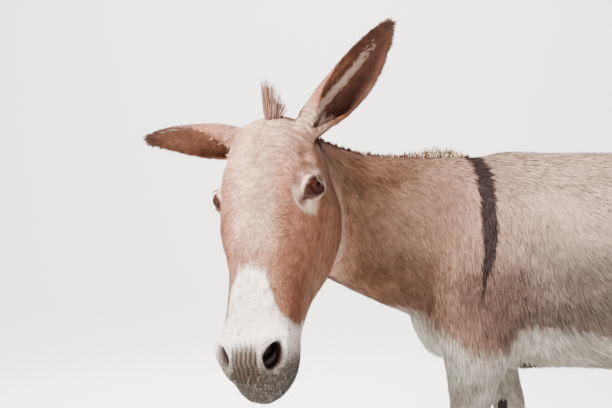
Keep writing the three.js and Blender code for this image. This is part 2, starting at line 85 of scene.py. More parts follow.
downFace, outFace, leftFace = headAxes(headPose)
eyes = {side: boxMiddle("eye_" + side) for side in ("left", "right")}
eyeDown, eyeOut, eyeLeft = (x * headPose["scale"] for x in headPose["eye"])
headOrigin = eyes["left"] - eyeDown * downFace - eyeOut * outFace - eyeLeft * leftFace
bodyShift = headOrigin - Vector(headPose["poll"])  # from the donkey's frame to the row's
headBasis = np.array([downFace, outFace, leftFace])  # rows are the head's axes


def headPoint(down, out, left):
    return headOrigin + headPose["scale"] * (down * downFace + out * outFace + left * leftFace)


def toHead(points):
    return (points - np.array(headOrigin)) @ headBasis.T / headPose["scale"]


def bodyPoint(x, y, z):
    return Vector((x, y, z)) + bodyShift


def toBody(points):
    return points - np.array(bodyShift)



# Camera, floor and lights.
view = {
    "place": (-0.368, -1.850, 1.025),
    "lens": 47.06,
    "sensor": 36.0,
}


def makeCamera():
    data = bpy.data.cameras.new("camera")
    data.lens = view["lens"]
    data.sensor_width = view["sensor"]
    data.clip_end = 60
    camera = bpy.data.objects.new("camera", data)
    scene.collection.objects.link(camera)
    camera.location = bodyPoint(*view["place"])
    camera.rotation_euler = (math.pi / 2, 0, 0)
    scene.camera = camera


stageLook = {
    "radius": 7.0,
    "cove": 3.0,
    "height": 6.0,
    "color": (0.66, 0.655, 0.645),
    "roughness": 0.9,
    "turns": 96,
    "rise": 12,
}


def ringFaces(rings, turns, first=0):
    # The quads between rings of points that follow one another from the point at first.
    faces = []
    for ring in range(rings - 1):
        for k in range(turns):
            a = first + ring * turns + k
            b = first + ring * turns + (k + 1) % turns
            faces.append((a, a + turns, b + turns, b))
    return faces


def makeStage():
    turns, rise, cove = stageLook["turns"], stageLook["rise"], stageLook["cove"]
    flat = stageLook["radius"] - cove
    profile = [(flat, 0.0)]
    for k in range(1, rise + 1):
        angle = math.pi / 2 * k / rise
        profile.append((flat + cove * math.sin(angle), cove * (1 - math.cos(angle))))
    profile.append((stageLook["radius"], stageLook["height"]))
    points = [(0.0, 0.0, 0.0)]
    for reach, height in profile:
        for k in range(turns):
            angle = 2 * math.pi * k / turns
            points.append((reach * math.cos(angle), reach * math.sin(angle), height))
    faces = [(0, 1 + k, 1 + (k + 1) % turns) for k in range(turns)]
    faces += ringFaces(len(profile), turns, 1)
    mesh = bpy.data.meshes.new("floor")
    mesh.from_pydata(points, [], faces)
    mesh.shade_smooth()
    floor = bpy.data.objects.new("floor", mesh)
    scene.collection.objects.link(floor)
    material = bpy.data.materials.new("floor")
    material.use_nodes = True
    shader = material.node_tree.nodes["Principled BSDF"]
    shader.inputs["Base Color"].default_value = (*stageLook["color"], 1)
    shader.inputs["Roughness"].default_value = stageLook["roughness"]
    mesh.materials.append(material)


lights = {
    # name: place in the donkey's frame, what it looks at, size, power, colour
    "key": ((-2.2, -1.5, 3.7), (-0.1, 0.0, 0.9), 1.2, 560, (1.0, 0.955, 0.90)),
    "fill": ((2.0, -3.2, 1.7), (0.1, -0.1, 0.8), 3.0, 78, (0.97, 0.98, 1.0)),
    "rim": ((-1.2, 2.6, 3.0), (-0.1, 0.0, 1.0), 1.8, 220, (1.0, 0.95, 0.88)),
    "backdrop": ((0.0, 2.6, 4.6), (0.0, 6.5, 1.5), 3.0, 560, (1.0, 0.99, 0.97)),
}
worldLook = {"color": (0.96, 0.98, 1.0), "strength": 0.20}


def makeLights():
    for name, (place, target, size, power, color) in lights.items():
        data = bpy.data.lights.new(name, "AREA")
        data.shape = "DISK"
        data.size = size
        data.energy = power
        data.color = color
        light = bpy.data.objects.new(name, data)
        scene.collection.objects.link(light)
        light.visible_camera = False
        light.location = bodyPoint(*place)
        light.rotation_euler = (Vector(target) - Vector(place)).to_track_quat("-Z", "Y").to_euler()
    world = bpy.data.worlds.new("studio")
    scene.world = world
    world.use_nodes = True
    sky = world.node_tree.nodes["Background"]
    sky.inputs["Color"].default_value = (*worldLook["color"], 1)
    sky.inputs["Strength"].default_value = worldLook["strength"]
    scene.view_settings.look = "AgX - Medium High Contrast"


makeCamera()
makeStage()
makeLights()


# Helpers for meshes.
def readVectors(collection, field):
    values = np.empty(len(collection) * 3, np.float32)
    collection.foreach_get(field, values)
    return values.reshape(-1, 3).astype(float)


def readPlaces(mesh):
    return readVectors(mesh.vertices, "co")


def writePlaces(mesh, places):
    mesh.vertices.foreach_set("co", places.astype(np.float32).ravel())
    mesh.update()


def readNormals(mesh):
    return readVectors(mesh.vertex_normals, "vector")


def clip01(x):
    return np.clip(x, 0.0, 1.0)


def ease(x, low, high):
    share = clip01((x - low) / (high - low))
    return share * share * (3 - 2 * share)


def unit(vectors):
    return vectors / np.maximum(np.linalg.norm(vectors, axis=-1, keepdims=True), 1e-9)


def neighbourMean(mesh):
    # A function that gives each vertex the mean of its neighbours' values.
    count = len(mesh.vertices)
    ends = np.empty(len(mesh.edges) * 2, np.int32)
    mesh.edges.foreach_get("vertices", ends)
    ends = ends.reshape(-1, 2)
    here = np.concatenate([ends[:, 0], ends[:, 1]])
    there = np.concatenate([ends[:, 1], ends[:, 0]])
    order = np.argsort(here, kind="stable")
    there = there[order]
    degree = np.bincount(here, minlength=count)
    starts = np.concatenate([[0], np.cumsum(degree)[:-1]])
    share = (1.0 / degree).astype(np.float32)

    def mean(values):
        sums = np.add.reduceat(values[there], starts, axis=0)
        return sums * share.reshape((-1,) + (1,) * (values.ndim - 1))

    return mean


def spreadOut(values, rate, rounds, mean):
    values = values.astype(np.float32)
    for _ in range(rounds):
        values = values + rate * (mean(values) - values)
    return values


def meshObject(name, mesh):
    item = bpy.data.objects.new(name, mesh)
    scene.collection.objects.link(item)
    return item


def bake(item):
    # The object's mesh with its modifiers applied, as a plain mesh.
    graph = bpy.context.evaluated_depsgraph_get()
    graph.update()
    return bpy.data.meshes.new_from_object(item.evaluated_get(graph), depsgraph=graph)


def countTriangles(mesh):
    return sum(len(p.vertices) - 2 for p in mesh.polygons)


def meshTree(mesh):
    return BVHTree.FromPolygons([v.co for v in mesh.vertices], [p.vertices for p in mesh.polygons])


def storeField(mesh, name, values):
    # Keeps a number or a vector for each point, writing over a field that is there.
    kind, key = ("FLOAT_VECTOR", "vector") if values.ndim == 2 else ("FLOAT", "value")
    layer = mesh.attributes.get(name) or mesh.attributes.new(name, kind, "POINT")
    layer.data.foreach_set(key, values.astype(np.float32).ravel())


# The skin.
skinSizes = {
    "voxel": 0.0045,
    "swell": 0.0006,  # closes the thin cuts between the solids
    "triangles": 190000,
}
# How deep the skin lies under the tips of the coat.
coatDepths = {"body": 0.004, "face": 0.0015, "ear": 0.0010, "leg": 0.0020, "muzzle": 0.0004}
# How strongly each round smooths the solids' flats.
smoothing = {"body": 0.95, "leg": 0.10, "head": 0.16, "muzzle": 0.06, "ear": 0.070, "rounds": 56}
hoofNodes = [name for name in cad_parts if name.endswith("_hoof")]
eyeNodes = ["eye_left", "eye_right"]
hairNodes = ["mane", "forelock", "tail_switch"]
fleshNodes = [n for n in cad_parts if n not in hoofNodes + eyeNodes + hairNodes]


def joinedFlesh():
    whole = bmesh.new()
    for name in fleshNodes + eyeNodes:
        piece = bmesh.new()
        piece.from_mesh(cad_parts[name].data)
        bmesh.ops.remove_doubles(piece, verts=piece.verts, dist=1e-6)
        bmesh.ops.recalc_face_normals(piece, faces=piece.faces)
        piece.normal_update()
        for vertex in piece.verts:
            vertex.co += vertex.normal * skinSizes["swell"]
        mesh = bpy.data.meshes.new(name + "_copy")
        piece.to_mesh(mesh)
        piece.free()
        whole.from_mesh(mesh)
        bpy.data.meshes.remove(mesh)
    flesh = bpy.data.meshes.new("flesh")
    whole.to_mesh(flesh)
    whole.free()
    return meshObject("flesh", flesh)


def voxelSkin():
    flesh = joinedFlesh()
    remesh = flesh.modifiers.new("voxels", "REMESH")
    remesh.mode = "VOXEL"
    remesh.voxel_size = skinSizes["voxel"]
    skin = bake(flesh)
    bpy.data.objects.remove(flesh)
    return skin


skinMesh = voxelSkin()
report(f"voxel skin of {len(skinMesh.vertices)} vertices")


# Each ear's own frame: where its root lies in the head, the way it points, the way its open side faces and
# how far its middle bows to the side.
earPose = {
    "left": {"base": (0.018, -0.040, 0.081), "points": (0.152, 0.080, 0.206), "opens": (0.30, -0.95, -0.10),
             "bow": 0.012},
    "right": {"base": (0.028, -0.034, -0.058), "points": (-0.210, 0.166, 0.024), "opens": (0.0, -0.75, -0.66),
              "bow": -0.006},
}
earLength = 0.280
earLean = 0.016  # how far the tip curls towards the open side
# The ear's half width at a few shares of the way up it.
earHalf = ((0, 0.1, 0.36, 0.64, 0.9, 1.0), (0.031, 0.037, 0.045, 0.041, 0.022, 0.005))


def earAxes(side):
    pose = earPose[side]
    along = Vector(pose["points"]).normalized()
    across = along.cross(Vector(pose["opens"])).normalized()
    return along, across.cross(along), across  # up the ear, out of its open side, across it


def toEar(points, side):
    # Places about the ear's middle line: up it, out of its open side and across it.
    root = np.array(headPoint(*earPose[side]["base"]))
    place = (points - root) @ np.array(earAxes(side)).T
    share = clip01(place[:, 0] / earLength)
    place[:, 1] -= earLean * share**2
    place[:, 2] -= earPose[side]["bow"] * np.sin(math.pi * share)
    return place


def earShare(points):
    # 1 on the ears' blades and 0 off them.
    share = np.zeros(len(points))
    for side in earPose:
        place = toEar(points, side)
        beside = np.linalg.norm(place[:, 1:], axis=1)
        share = np.maximum(share, ease(place[:, 0], 0.014, 0.034) * ease(-beside, -0.10, -0.085))
    return share


def aheadOfJaw(place):
    # How far a place on the head lies in front of the slanting line behind the jaw.
    return (place[:, 0] - 0.070) * 0.69 + (place[:, 1] + 0.168) * 0.72


def headShare(points):
    # 1 on the head, fading to 0 behind the jaw.
    ahead = aheadOfJaw(toHead(points))
    return ease(ahead, -0.030, 0.030) * ease(-toBody(points)[:, 0], 0.10, 0.16)


def legShare(points):
    # 0 on the body, rising to 1 below the elbow and the stifle.
    return ease(-toBody(points)[:, 2], -0.66, -0.52)


def muzzleShare(points):
    return ease(toHead(points)[:, 0], 0.36, 0.44) * headShare(points)


lids = {
    "forward": math.radians(30),  # how far the eye looks forward from straight out to the side
    "slant": math.radians(38),  # how far the opening is turned from the line down the face
    "long": 1.32,  # half length of the opening, radians about the eye's middle
    "above": 0.80,  # its half heights above and below, radians
    "below": 0.72,
    "power": 1.7,  # 2 for an oval opening, less for a pointed one
    "corner": {"place": 0.0255, "reach": 0.0100, "half": 0.0045},
    "thick": 0.0026,
    "crease": 0.0016,
    "roll": 0.0022,  # the swelling of the upper lid and of the brow's side of the eye
    "hidden": 0.005,  # how far the skin drops behind the eyeball inside the opening
}


def eyePlaces(points, side):
    # Places about an eye: towards its inner corner, towards its upper lid and out of the head.
    sign = 1 if side == "left" else -1
    out = (leftFace * sign * math.cos(lids["forward"]) + outFace * math.sin(lids["forward"])).normalized()
    inner = downFace * math.cos(lids["slant"]) + outFace * math.sin(lids["slant"])
    inner = (inner - out * inner.dot(out)).normalized()
    upper = out.cross(inner) * sign
    if upper.dot(downFace) > 0:
        upper = -upper
    return (points - np.array(eyes[side])) @ np.array([inner, upper, out]).T


def smoothRates(points):
    rate = smoothing["body"] + 0 * points[:, 0]
    shares = {"leg": legShare, "head": headShare, "muzzle": muzzleShare, "ear": earShare}
    for part, shareOf in shares.items():
        rate = rate + shareOf(points) * (smoothing[part] - rate)
    return rate[:, None]


def smoothedSkin(mesh):
    # Rounds off the solids' flats. The second pass gives back the volume that the first one takes.
    mean = neighbourMean(mesh)
    places = readPlaces(mesh)
    rates = smoothRates(places).astype(np.float32)
    rates = spreadOut(rates, 0.5, 12, mean)
    smooth = spreadOut(places, rates, smoothing["rounds"], mean)
    lost = spreadOut(places - smooth, rates, smoothing["rounds"], mean)
    writePlaces(mesh, smooth + lost)


def refine(mesh, wanted):
    # Cuts each face in four where wanted(middle) is true.
    whole = bmesh.new()
    whole.from_mesh(mesh)
    middles = np.array([face.calc_center_median() for face in whole.faces])
    chosen = wanted(middles)
    edges = {edge for face, yes in zip(whole.faces, chosen) if yes for edge in face.edges}
    bmesh.ops.subdivide_edges(whole, edges=list(edges), cuts=1, use_grid_fill=True)
    whole.to_mesh(mesh)
    whole.free()


# A nostril's middle, the way it runs up and the way it opens: down the face, out of it, to the side.
nostrils = {
    "place": (0.459, -0.022, 0.046),
    "runs": (-0.89, 0.10, 0.45),
    "opens": (0.30, 0.50, 0.80),
    "radii": (0.0285, 0.0200),  # along the opening and across it
    "narrow": 0.42,  # how much narrower its upper end is
    "depth": 0.022,
    "rim": 0.0036,
}


def nostrilPlaces(points, side):
    # Places about a nostril: up along its opening, across it and out of it.
    sign = 1 if side == "left" else -1
    turned = [Vector((x * y for x, y in zip(nostrils[k], (1, 1, sign)))) for k in ("place", "runs", "opens")]
    middle = np.array(headPoint(*turned[0]))
    outward = turned[2].normalized()
    along = (turned[1] - outward * turned[1].dot(outward)).normalized()
    across = outward.cross(along) * sign
    return (points - middle) @ (np.array([along, across, outward]) @ headBasis).T


def nostrilShare(points, side):
    # How far out from the middle of the opening: 1 at its edge.
    place = nostrilPlaces(points, side)
    along, across = nostrils["radii"]
    up = place[:, 0] / along
    width = across * (1 - nostrils["narrow"] * ease(up, -0.6, 1.0))
    return np.hypot(up, (place[:, 1] + 0.1 * across * up) / width), place


def fromEye(points, side):
    return points - np.array(eyes[side])


def nearEither(placesOf, points, reach):
    # True within reach of the left or the right middle that placesOf counts from.
    distances = [np.linalg.norm(placesOf(points, side), axis=1) for side in eyes]
    return np.minimum(*distances) < reach


def fine(points, reach):
    # True about the eyes and the nostrils, where the skin needs small faces.
    return nearEither(fromEye, points, reach) | nearEither(nostrilPlaces, points, reach)


def lidSpread(place):
    # The angles along and across an eye's opening, and how far out from its middle: 1 at the lids' edge.
    x = np.arctan2(place[:, 0], place[:, 2])
    y = np.arctan2(place[:, 1], np.hypot(place[:, 0], place[:, 2]))
    half = np.where(y > 0, lids["above"], lids["below"])
    power = lids["power"]
    return x, y, (np.abs(x / lids["long"]) ** power + np.abs(y / half) ** power) ** (1 / power)


def shapeLids(points, side):
    place = eyePlaces(points, side)
    distance = np.linalg.norm(place, axis=1)
    x, y, spread = lidSpread(place)
    inside = (1 - spread) * 0.55 * eyeRadius  # how far inside the lids' edge, roughly in metres
    upper = ease(y, 0.0, 0.3)
    fold = lids["crease"] * np.exp(-(((inside + 0.0085) / 0.0022) ** 2)) * upper
    roll = lids["roll"] * np.exp(-(((inside + 0.0052) / 0.0030) ** 2)) * ease(y + 0.5 * x, -0.35, 0.25)
    height = eyeRadius + lids["thick"] - fold + roll
    height = height - (lids["thick"] + lids["hidden"]) * ease(inside, -0.0006, 0.0030)
    near = (place[:, 2] > 0) & (distance < 0.065)
    weight = near * ease(-spread, -2.5, -1.45) * ease(place[:, 2], 0.0, 0.006)
    wanted = distance + weight * (height - distance)
    moved = fromEye(points, side) * (wanted / np.maximum(distance, 1e-6))[:, None]
    return points * (1 - weight)[:, None] + weight[:, None] * (np.array(eyes[side]) + moved)


def shapeNostril(points, side):
    spread, place = nostrilShare(points, side)
    near = ease(place[:, 2], -0.036, -0.022) * ease(-np.abs(place[:, 2]), -0.045, -0.036)
    depth = -nostrils["depth"] * ease(-spread, -0.98, -0.55)
    rim = nostrils["rim"] * np.exp(-(((spread - 1.22) / 0.20) ** 2))
    rim = rim * (0.45 + 0.55 * ease(place[:, 1] - 0.4 * place[:, 0], -0.012, 0.010))
    outward = nostrilPlaces(points[:1] + np.eye(3), side) - nostrilPlaces(points[:1], side)
    return points + ((depth + rim) * near)[:, None] * outward[:, 2]


mouth = {"corner": 0.398, "height": -0.084, "rise": 0.008, "end": 0.530, "depth": 0.006, "half": 0.0022}


def mouthLine(down):
    share = (down - mouth["corner"]) / (mouth["end"] - mouth["corner"])
    return mouth["height"] + mouth["rise"] * clip01(share) ** 2


def shapeMouth(points, normals):
    place = toHead(points)
    above = place[:, 1] - mouthLine(place[:, 0])
    ahead = ease(place[:, 0], mouth["corner"] - 0.006, mouth["corner"] + 0.012)
    groove = -mouth["depth"] * np.exp(-((above / mouth["half"]) ** 2))
    upper = 0.0020 * np.exp(-(((above - 0.011) / 0.008) ** 2))
    lower = 0.0012 * np.exp(-(((above + 0.010) / 0.006) ** 2))
    return points + ((groove + (upper + lower)) * ahead * headShare(points))[:, None] * normals


wrinkles = {
    "apart": 0.0090,  # the upright folds between the nostrils
    "height": 0.0024,
    "rowsApart": 0.0062,  # the fine cross wrinkles above them
    "rowsHeight": 0.0004,
}


def foldFields(points):
    # The upright folds' window and wave, which is 1 on a fold and 0 in a groove.
    down, out, left = toHead(points).T
    window = ease(down, 0.430, 0.452) * ease(-down, -0.510, -0.488) * ease(-np.abs(left), -0.027, -0.018)
    window = window * ease(out, -0.070, -0.050) * headShare(points)
    bend = left * (1 + 1.6 * (down - 0.45)) + 0.0012 * np.sin(down * 190) + 0.0007 * np.sin(down * 410 + 2)
    return window, np.abs(np.cos(math.pi * bend / wrinkles["apart"])) ** 0.7


def shapeWrinkles(points, normals):
    down, out, left = toHead(points).T
    window, wave = foldFields(points)
    across = ease(down, 0.385, 0.415) * ease(-down, -0.452, -0.436) * ease(-np.abs(left), -0.042, -0.020)
    across = across * ease(out, -0.05, -0.03) * headShare(points)
    sway = 0.0030 * np.sin(left * 150) + 0.0022 * np.sin(left * 61 + down * 90) + 8 * left**2
    broken = 0.5 + 0.5 * np.sin(left * 83 + down * 140)
    rows = np.cos(2 * math.pi * (down + sway) / wrinkles["rowsApart"]) * broken
    push = wrinkles["height"] * (wave - 0.7) * window + wrinkles["rowsHeight"] * rows * across
    return points + push[:, None] * normals


# Soft forms under the skin: place in the donkey's frame, radius and height, on both sides.
muscles = {
    "shoulderBlade": ((0.020, -0.150, 0.960), 0.070, 0.007),
    "bladeSpine": ((0.060, -0.150, 1.040), 0.040, 0.006),
    "behindBlade": ((0.140, -0.180, 0.930), 0.050, -0.006),
    "shoulderPoint": ((-0.085, -0.125, 0.800), 0.045, 0.007),
    "triceps": ((0.045, -0.150, 0.800), 0.055, 0.008),
    "elbow": ((0.075, -0.150, 0.690), 0.030, 0.006),
    "girth": ((0.150, -0.140, 0.700), 0.060, -0.006),
    "hip": ((0.660, -0.190, 1.050), 0.045, 0.012),
    "flankHollow": ((0.620, -0.190, 0.960), 0.050, -0.012),
    "stifle": ((0.700, -0.185, 0.760), 0.050, 0.010),
    "buttock": ((0.930, -0.140, 0.930), 0.070, 0.006),
    "thighGroove": ((0.860, -0.180, 0.850), 0.035, -0.006),
}
# The same on the head, in its own axes.
headForms = {
    "browRidge": ((0.126, -0.018, 0.092), 0.018, 0.0045),
    "hollowAboveEye": ((0.092, -0.020, 0.082), 0.016, -0.0050),
    "faceCrest": ((0.235, -0.070, 0.082), 0.020, 0.0040),
    "faceCrestEnd": ((0.272, -0.068, 0.070), 0.016, 0.0035),
    "underCrest": ((0.262, -0.095, 0.072), 0.020, -0.0030),
    "jawMuscle": ((0.165, -0.160, 0.078), 0.045, 0.0040),
    "nasalEdge": ((0.340, -0.012, 0.034), 0.018, 0.0025),
    "noseNotch": ((0.388, -0.010, 0.046), 0.014, -0.0030),
    "muzzleSide": ((0.430, -0.060, 0.062), 0.022, 0.0030),
    "chin": ((0.450, -0.116, 0.012), 0.018, 0.0040),
    "chinGroove": ((0.405, -0.118, 0.020), 0.016, -0.0035),
}


def shapeForms(points, normals):
    push = np.zeros(len(points))
    for forms, pointAt, sides in ((muscles, bodyPoint, (1, -1, 1)), (headForms, headPoint, (1, 1, -1))):
        for place, radius, height in forms.values():
            for signs in ((1, 1, 1), sides):
                middle = np.array(pointAt(*(a * b for a, b in zip(place, signs))))
                push += height * np.exp(-((points - middle) ** 2).sum(1) / radius**2)
    return points + push[:, None] * normals


def coatDepth(points):
    depth = coatDepths["body"] + 0 * points[:, 0]
    depth = depth + headShare(points) * (coatDepths["face"] - depth)
    depth = depth + earShare(points) * (coatDepths["ear"] - depth)
    low = ease(-toBody(points)[:, 2], -0.60, -0.30)
    depth = depth + low * (coatDepths["leg"] - depth)
    return depth + muzzleShare(points) * (coatDepths["muzzle"] - depth)


def sculptedSkin(mesh):
    refine(mesh, lambda p: fine(p, 0.050) | (muzzleShare(p) > 0.5))
    report(f"refined once, {len(mesh.polygons)} faces")
    refine(mesh, lambda p: fine(p, 0.036))
    report(f"refined twice, {len(mesh.polygons)} faces")
    points = readPlaces(mesh)
    points = shapeForms(points, readNormals(mesh))
    points = points - coatDepth(points)[:, None] * readNormals(mesh)
    points = shapeMouth(points, readNormals(mesh))
    points = shapeWrinkles(points, readNormals(mesh))
    for side in eyes:
        points = shapeNostril(points, side)
        points = shapeLids(points, side)
    writePlaces(mesh, points)


def fineShare(points):
    # Where the skin keeps its small faces.
    share = np.maximum(0.35 * headShare(points), 0.6 * muzzleShare(points))
    share = np.maximum(share, 0.3 * earShare(points))
    share = np.maximum(share, ease(foldFields(points)[0], 0.0, 0.2))
    return np.where(fine(points, 0.045), 1.0, share)


def thinned(mesh):
    item = meshObject("thinning", mesh)
    group = item.vertex_groups.new(name="coarse")
    coarse = 1 - fineShare(readPlaces(mesh))
    steps = 20
    levels = np.round(coarse * steps).astype(int)
    for level in np.unique(levels):
        group.add(np.nonzero(levels == level)[0].tolist(), float(level) / steps, "REPLACE")
    decimate = item.modifiers.new("thinner", "DECIMATE")
    decimate.ratio = skinSizes["triangles"] / countTriangles(mesh)
    decimate.vertex_group = "coarse"
    decimate.vertex_group_factor = 1.0
    result = bake(item)
    bpy.data.objects.remove(item)
    return result


smoothedSkin(skinMesh)
report("smoothed")
sculptedSkin(skinMesh)
report("sculpted")
skinMesh = thinned(skinMesh)
report(f"thinned to {len(skinMesh.polygons)} faces")
skinMesh.name = "skin"
skinMesh.shade_smooth()
skin = meshObject("skin", skinMesh)


# Regions of the skin and its unwrap.
legRegions = ["foreLeft", "foreRight", "hindLeft", "hindRight"]
regions = ["trunk", "neck", "head", "earLeft", "earRight", *legRegions, "tail"]
legTop = 0.62  # height under which a leg's hair is its own


def regionOf(points):
    x, y, z = toBody(points).T
    found = np.zeros(len(points), int)
    ahead = -0.874 * (x + 0.05) + 0.486 * (z - 0.97)  # of the line that slants up over the shoulders
    found[ahead > 0] = regions.index("neck")
    found[headShare(points) > 0.5] = regions.index("head")
    for side in earPose:
        ear = toEar(points, side)
        beside = np.linalg.norm(ear[:, 1:], axis=1)
        found[(ear[:, 0] > 0.022) & (beside < 0.09)] = regions.index("ear" + side.capitalize())
    leg = z < legTop
    for low, high, name in ((-0.4, 0.45, "fore"), (0.45, 1.02, "hind")):
        for left in (True, False):
            here = leg & (x > low) & (x < high) & ((y < 0) == left)
            found[here] = regions.index(name + ("Left" if left else "Right"))
    found[(x > 1.015) & (z < 1.0)] = regions.index("tail")
    return found


def legLine(name):
    # The middle of a leg at any height, from the boxes of its upper and lower piece.
    upper = boxMiddle(name + "_upper")
    lower = boxMiddle(name + "_lower")
    return lambda z: np.outer((z - lower.z) / (upper.z - lower.z), np.array(upper - lower)) + np.array(lower)


def aroundPlaces(points, region):
    # Two coordinates across a region's axis, and one along it from 0 to 1.
    place = toBody(points)
    name = regions[region]
    if name == "trunk":
        return place[:, 1], place[:, 2] - 0.90, (place[:, 0] + 0.16) / 1.22
    if name == "neck":
        root = np.array((0.09, 0.0, 0.935))
        way = np.array((-0.51, -0.30, 0.165))
        length = np.linalg.norm(way)
        way = way / length
        side = np.array((way[1], -way[0], 0)) / math.hypot(way[0], way[1])
        high = np.cross(side, way)
        return (place - root) @ side, (place - root) @ high, ((place - root) @ way + 0.10) / (length + 0.20)
    if name == "head":
        head = toHead(points)
        return head[:, 2], head[:, 1] + 0.085, (head[:, 0] + 0.06) / 0.62
    if name.startswith("ear"):
        ear = toEar(points, name[3:].lower())
        return ear[:, 2], 0.02 - ear[:, 1], (ear[:, 0] + 0.02) / 0.32
    if name == "tail":
        return place[:, 1], place[:, 0] - 1.05, (1.02 - place[:, 2]) / 0.64
    leg = ("foreleg_" if name.startswith("fore") else "hindleg_") + name[4:].lower()
    middle = legLine(leg)(points[:, 2])
    return points[:, 0] - middle[:, 0], points[:, 1] - middle[:, 1], points[:, 2] / 0.70


# Each region's rectangle on the unwrap: left, bottom, width and height. An ear has one for each face.
unwrapPlaces = {
    "trunk": (0.02, 0.02, 0.46, 0.54),
    "neck": (0.52, 0.02, 0.20, 0.36),
    "head": (0.76, 0.02, 0.22, 0.36),
    "earLeft": (0.52, 0.42, 0.10, 0.14),
    "earLeftInside": (0.64, 0.42, 0.10, 0.14),
    "earRight": (0.76, 0.42, 0.10, 0.14),
    "earRightInside": (0.88, 0.42, 0.10, 0.14),
    "foreLeft": (0.02, 0.60, 0.20, 0.16),
    "foreRight": (0.26, 0.60, 0.20, 0.16),
    "hindLeft": (0.50, 0.60, 0.20, 0.16),
    "hindRight": (0.74, 0.60, 0.20, 0.16),
    "tail": (0.02, 0.80, 0.20, 0.12),
}


def cornerData(mesh):
    corners = np.empty(len(mesh.loops), np.int32)
    mesh.loops.foreach_get("vertex_index", corners)
    sizes = np.empty(len(mesh.polygons), np.int32)
    mesh.polygons.foreach_get("loop_total", sizes)
    middles = readVectors(mesh.polygons, "center")
    ways = readVectors(mesh.polygons, "normal")
    return corners, sizes, middles, ways


def unwrapSkin(mesh):
    corners, sizes, middles, ways = cornerData(mesh)
    points = readPlaces(mesh)[corners]
    owner = np.repeat(np.arange(len(sizes)), sizes)
    region = regionOf(middles)
    uv = np.zeros((len(corners), 2))
    for index, name in enumerate(regions):
        sides = [(name, region == index)]
        if name.startswith("ear"):
            inside = earInside(middles, ways, name[3:].lower())
            sides = [(name, (region == index) & ~inside), (name + "Inside", (region == index) & inside)]
        for place, faces in sides:
            here = faces[owner]
            across, high, along = aroundPlaces(points[here], index)
            midAcross, midHigh, _ = aroundPlaces(middles[owner[here]], index)
            turn = np.arctan2(midAcross, midHigh)
            more = np.arctan2(across, high) - turn
            turn = turn + np.arctan2(np.sin(more), np.cos(more))
            left, bottom, width, height = unwrapPlaces[place]
            uv[here, 0] = left + width * clip01(along)
            uv[here, 1] = bottom + height * (0.5 + turn / (2 * math.pi))
    layer = mesh.uv_layers.new(name="skinUnwrap")
    layer.uv.foreach_set("vector", uv.astype(np.float32).ravel())


def earInside(points, ways, side):
    ear = toEar(points, side)
    axes = np.array(earAxes(side))
    facing = ways @ axes.T
    # the hollow's faces look at the line up the middle of the ear's open side
    toMiddle = np.stack([np.zeros(len(ear)), 0.012 - ear[:, 1], -ear[:, 2]], axis=1)
    return (unit(toMiddle) * facing).sum(1) > 0.1


# Markings, as soft fields over the skin.
def eyeSpread(points, side):
    # 1 at the lids' edge, less inside the opening and more around it.
    place = eyePlaces(points, side)
    _, _, spread = lidSpread(place)
    far = ease(np.linalg.norm(place, axis=1), 0.045, 0.07)
    return spread + 4 * far + 4 * (place[:, 2] < -0.01)


def innerCorner(points):
    # The dark bare skin that runs from an eye's inner corner.
    share = np.zeros(len(points))
    for side in eyes:
        inner, upper, out = eyePlaces(points, side).T
        along = (inner - lids["corner"]["place"]) / lids["corner"]["reach"]
        across = (upper + 0.001) / lids["corner"]["half"]
        share = np.maximum(share, np.exp(-(along**2) - across**2) * (out > -0.01))
    return ease(share, 0.25, 0.60)


def nostrilSpread(points, side):
    spread, place = nostrilShare(points, side)
    return spread + 60 * np.maximum(np.abs(place[:, 2]) - 0.028, 0)


def leastSpread(spreadOf, points):
    # The spread from whichever of the two openings is nearer.
    return np.minimum(spreadOf(points, "left"), spreadOf(points, "right"))


def paleEdge(x):
    # The height under which the body is pale.
    stations = [-0.14, -0.08, -0.02, 0.05, 0.10, 0.25, 0.50, 0.66, 0.74, 0.90]
    heights = [0.80, 0.77, 0.72, 0.715, 0.775, 0.755, 0.745, 0.73, 0.56, 0.50]
    return np.interp(x, stations, heights)


# Dark bare patches: behind the elbows and the chestnuts inside the forelegs, with their radii.
spots = {
    "elbowFold": ((0.118, -0.070, 0.680), 0.020),
    "girthFold": ((0.206, -0.040, 0.680), 0.018),
    "elbowFoldRight": ((0.130, 0.075, 0.680), 0.020),
}
chestnut = {"height": 0.540, "radius": (0.013, 0.013, 0.024), "inward": 0.034}


def spotShare(points):
    body = toBody(points)
    share = np.zeros(len(points))
    for place, radius in spots.values():
        share = np.maximum(share, ease(-np.linalg.norm(body - np.array(place), axis=1) / radius, -1.2, -0.8))
    for side, sign in (("left", 1), ("right", -1)):
        middle = toBody(legLine("foreleg_" + side)(np.array([chestnut["height"]])))[0]
        middle = middle + np.array((0.004, sign * chestnut["inward"], 0))
        away = np.linalg.norm((body - middle) / np.array(chestnut["radius"]), axis=1)
        share = np.maximum(share, ease(-away, -1.15, -0.85))
    belly = ease(-np.abs(body[:, 1]), -0.016, -0.006)
    belly = belly * ease(body[:, 0], 0.22, 0.28) * ease(-body[:, 0], -0.62, -0.50)
    return np.maximum(share, 0.8 * belly * (body[:, 2] < 0.74) * (body[:, 2] > 0.60))


# Each ear's hollow, in half widths from its middle line: the pale streak, the tan side with the share of the
# ear it reaches up to, and how dark the painted shadow on the other side is, which also darkens that side's
# rim.
earLook = {
    "left": {"streak": -0.18, "streakHalf": 0.22, "tan": -0.46, "tanTo": 0.58, "dark": 0.85},
    "right": {"streak": 0.88, "streakHalf": 0.22, "tan": 0.62, "tanTo": 0.84, "dark": 0.0},
}


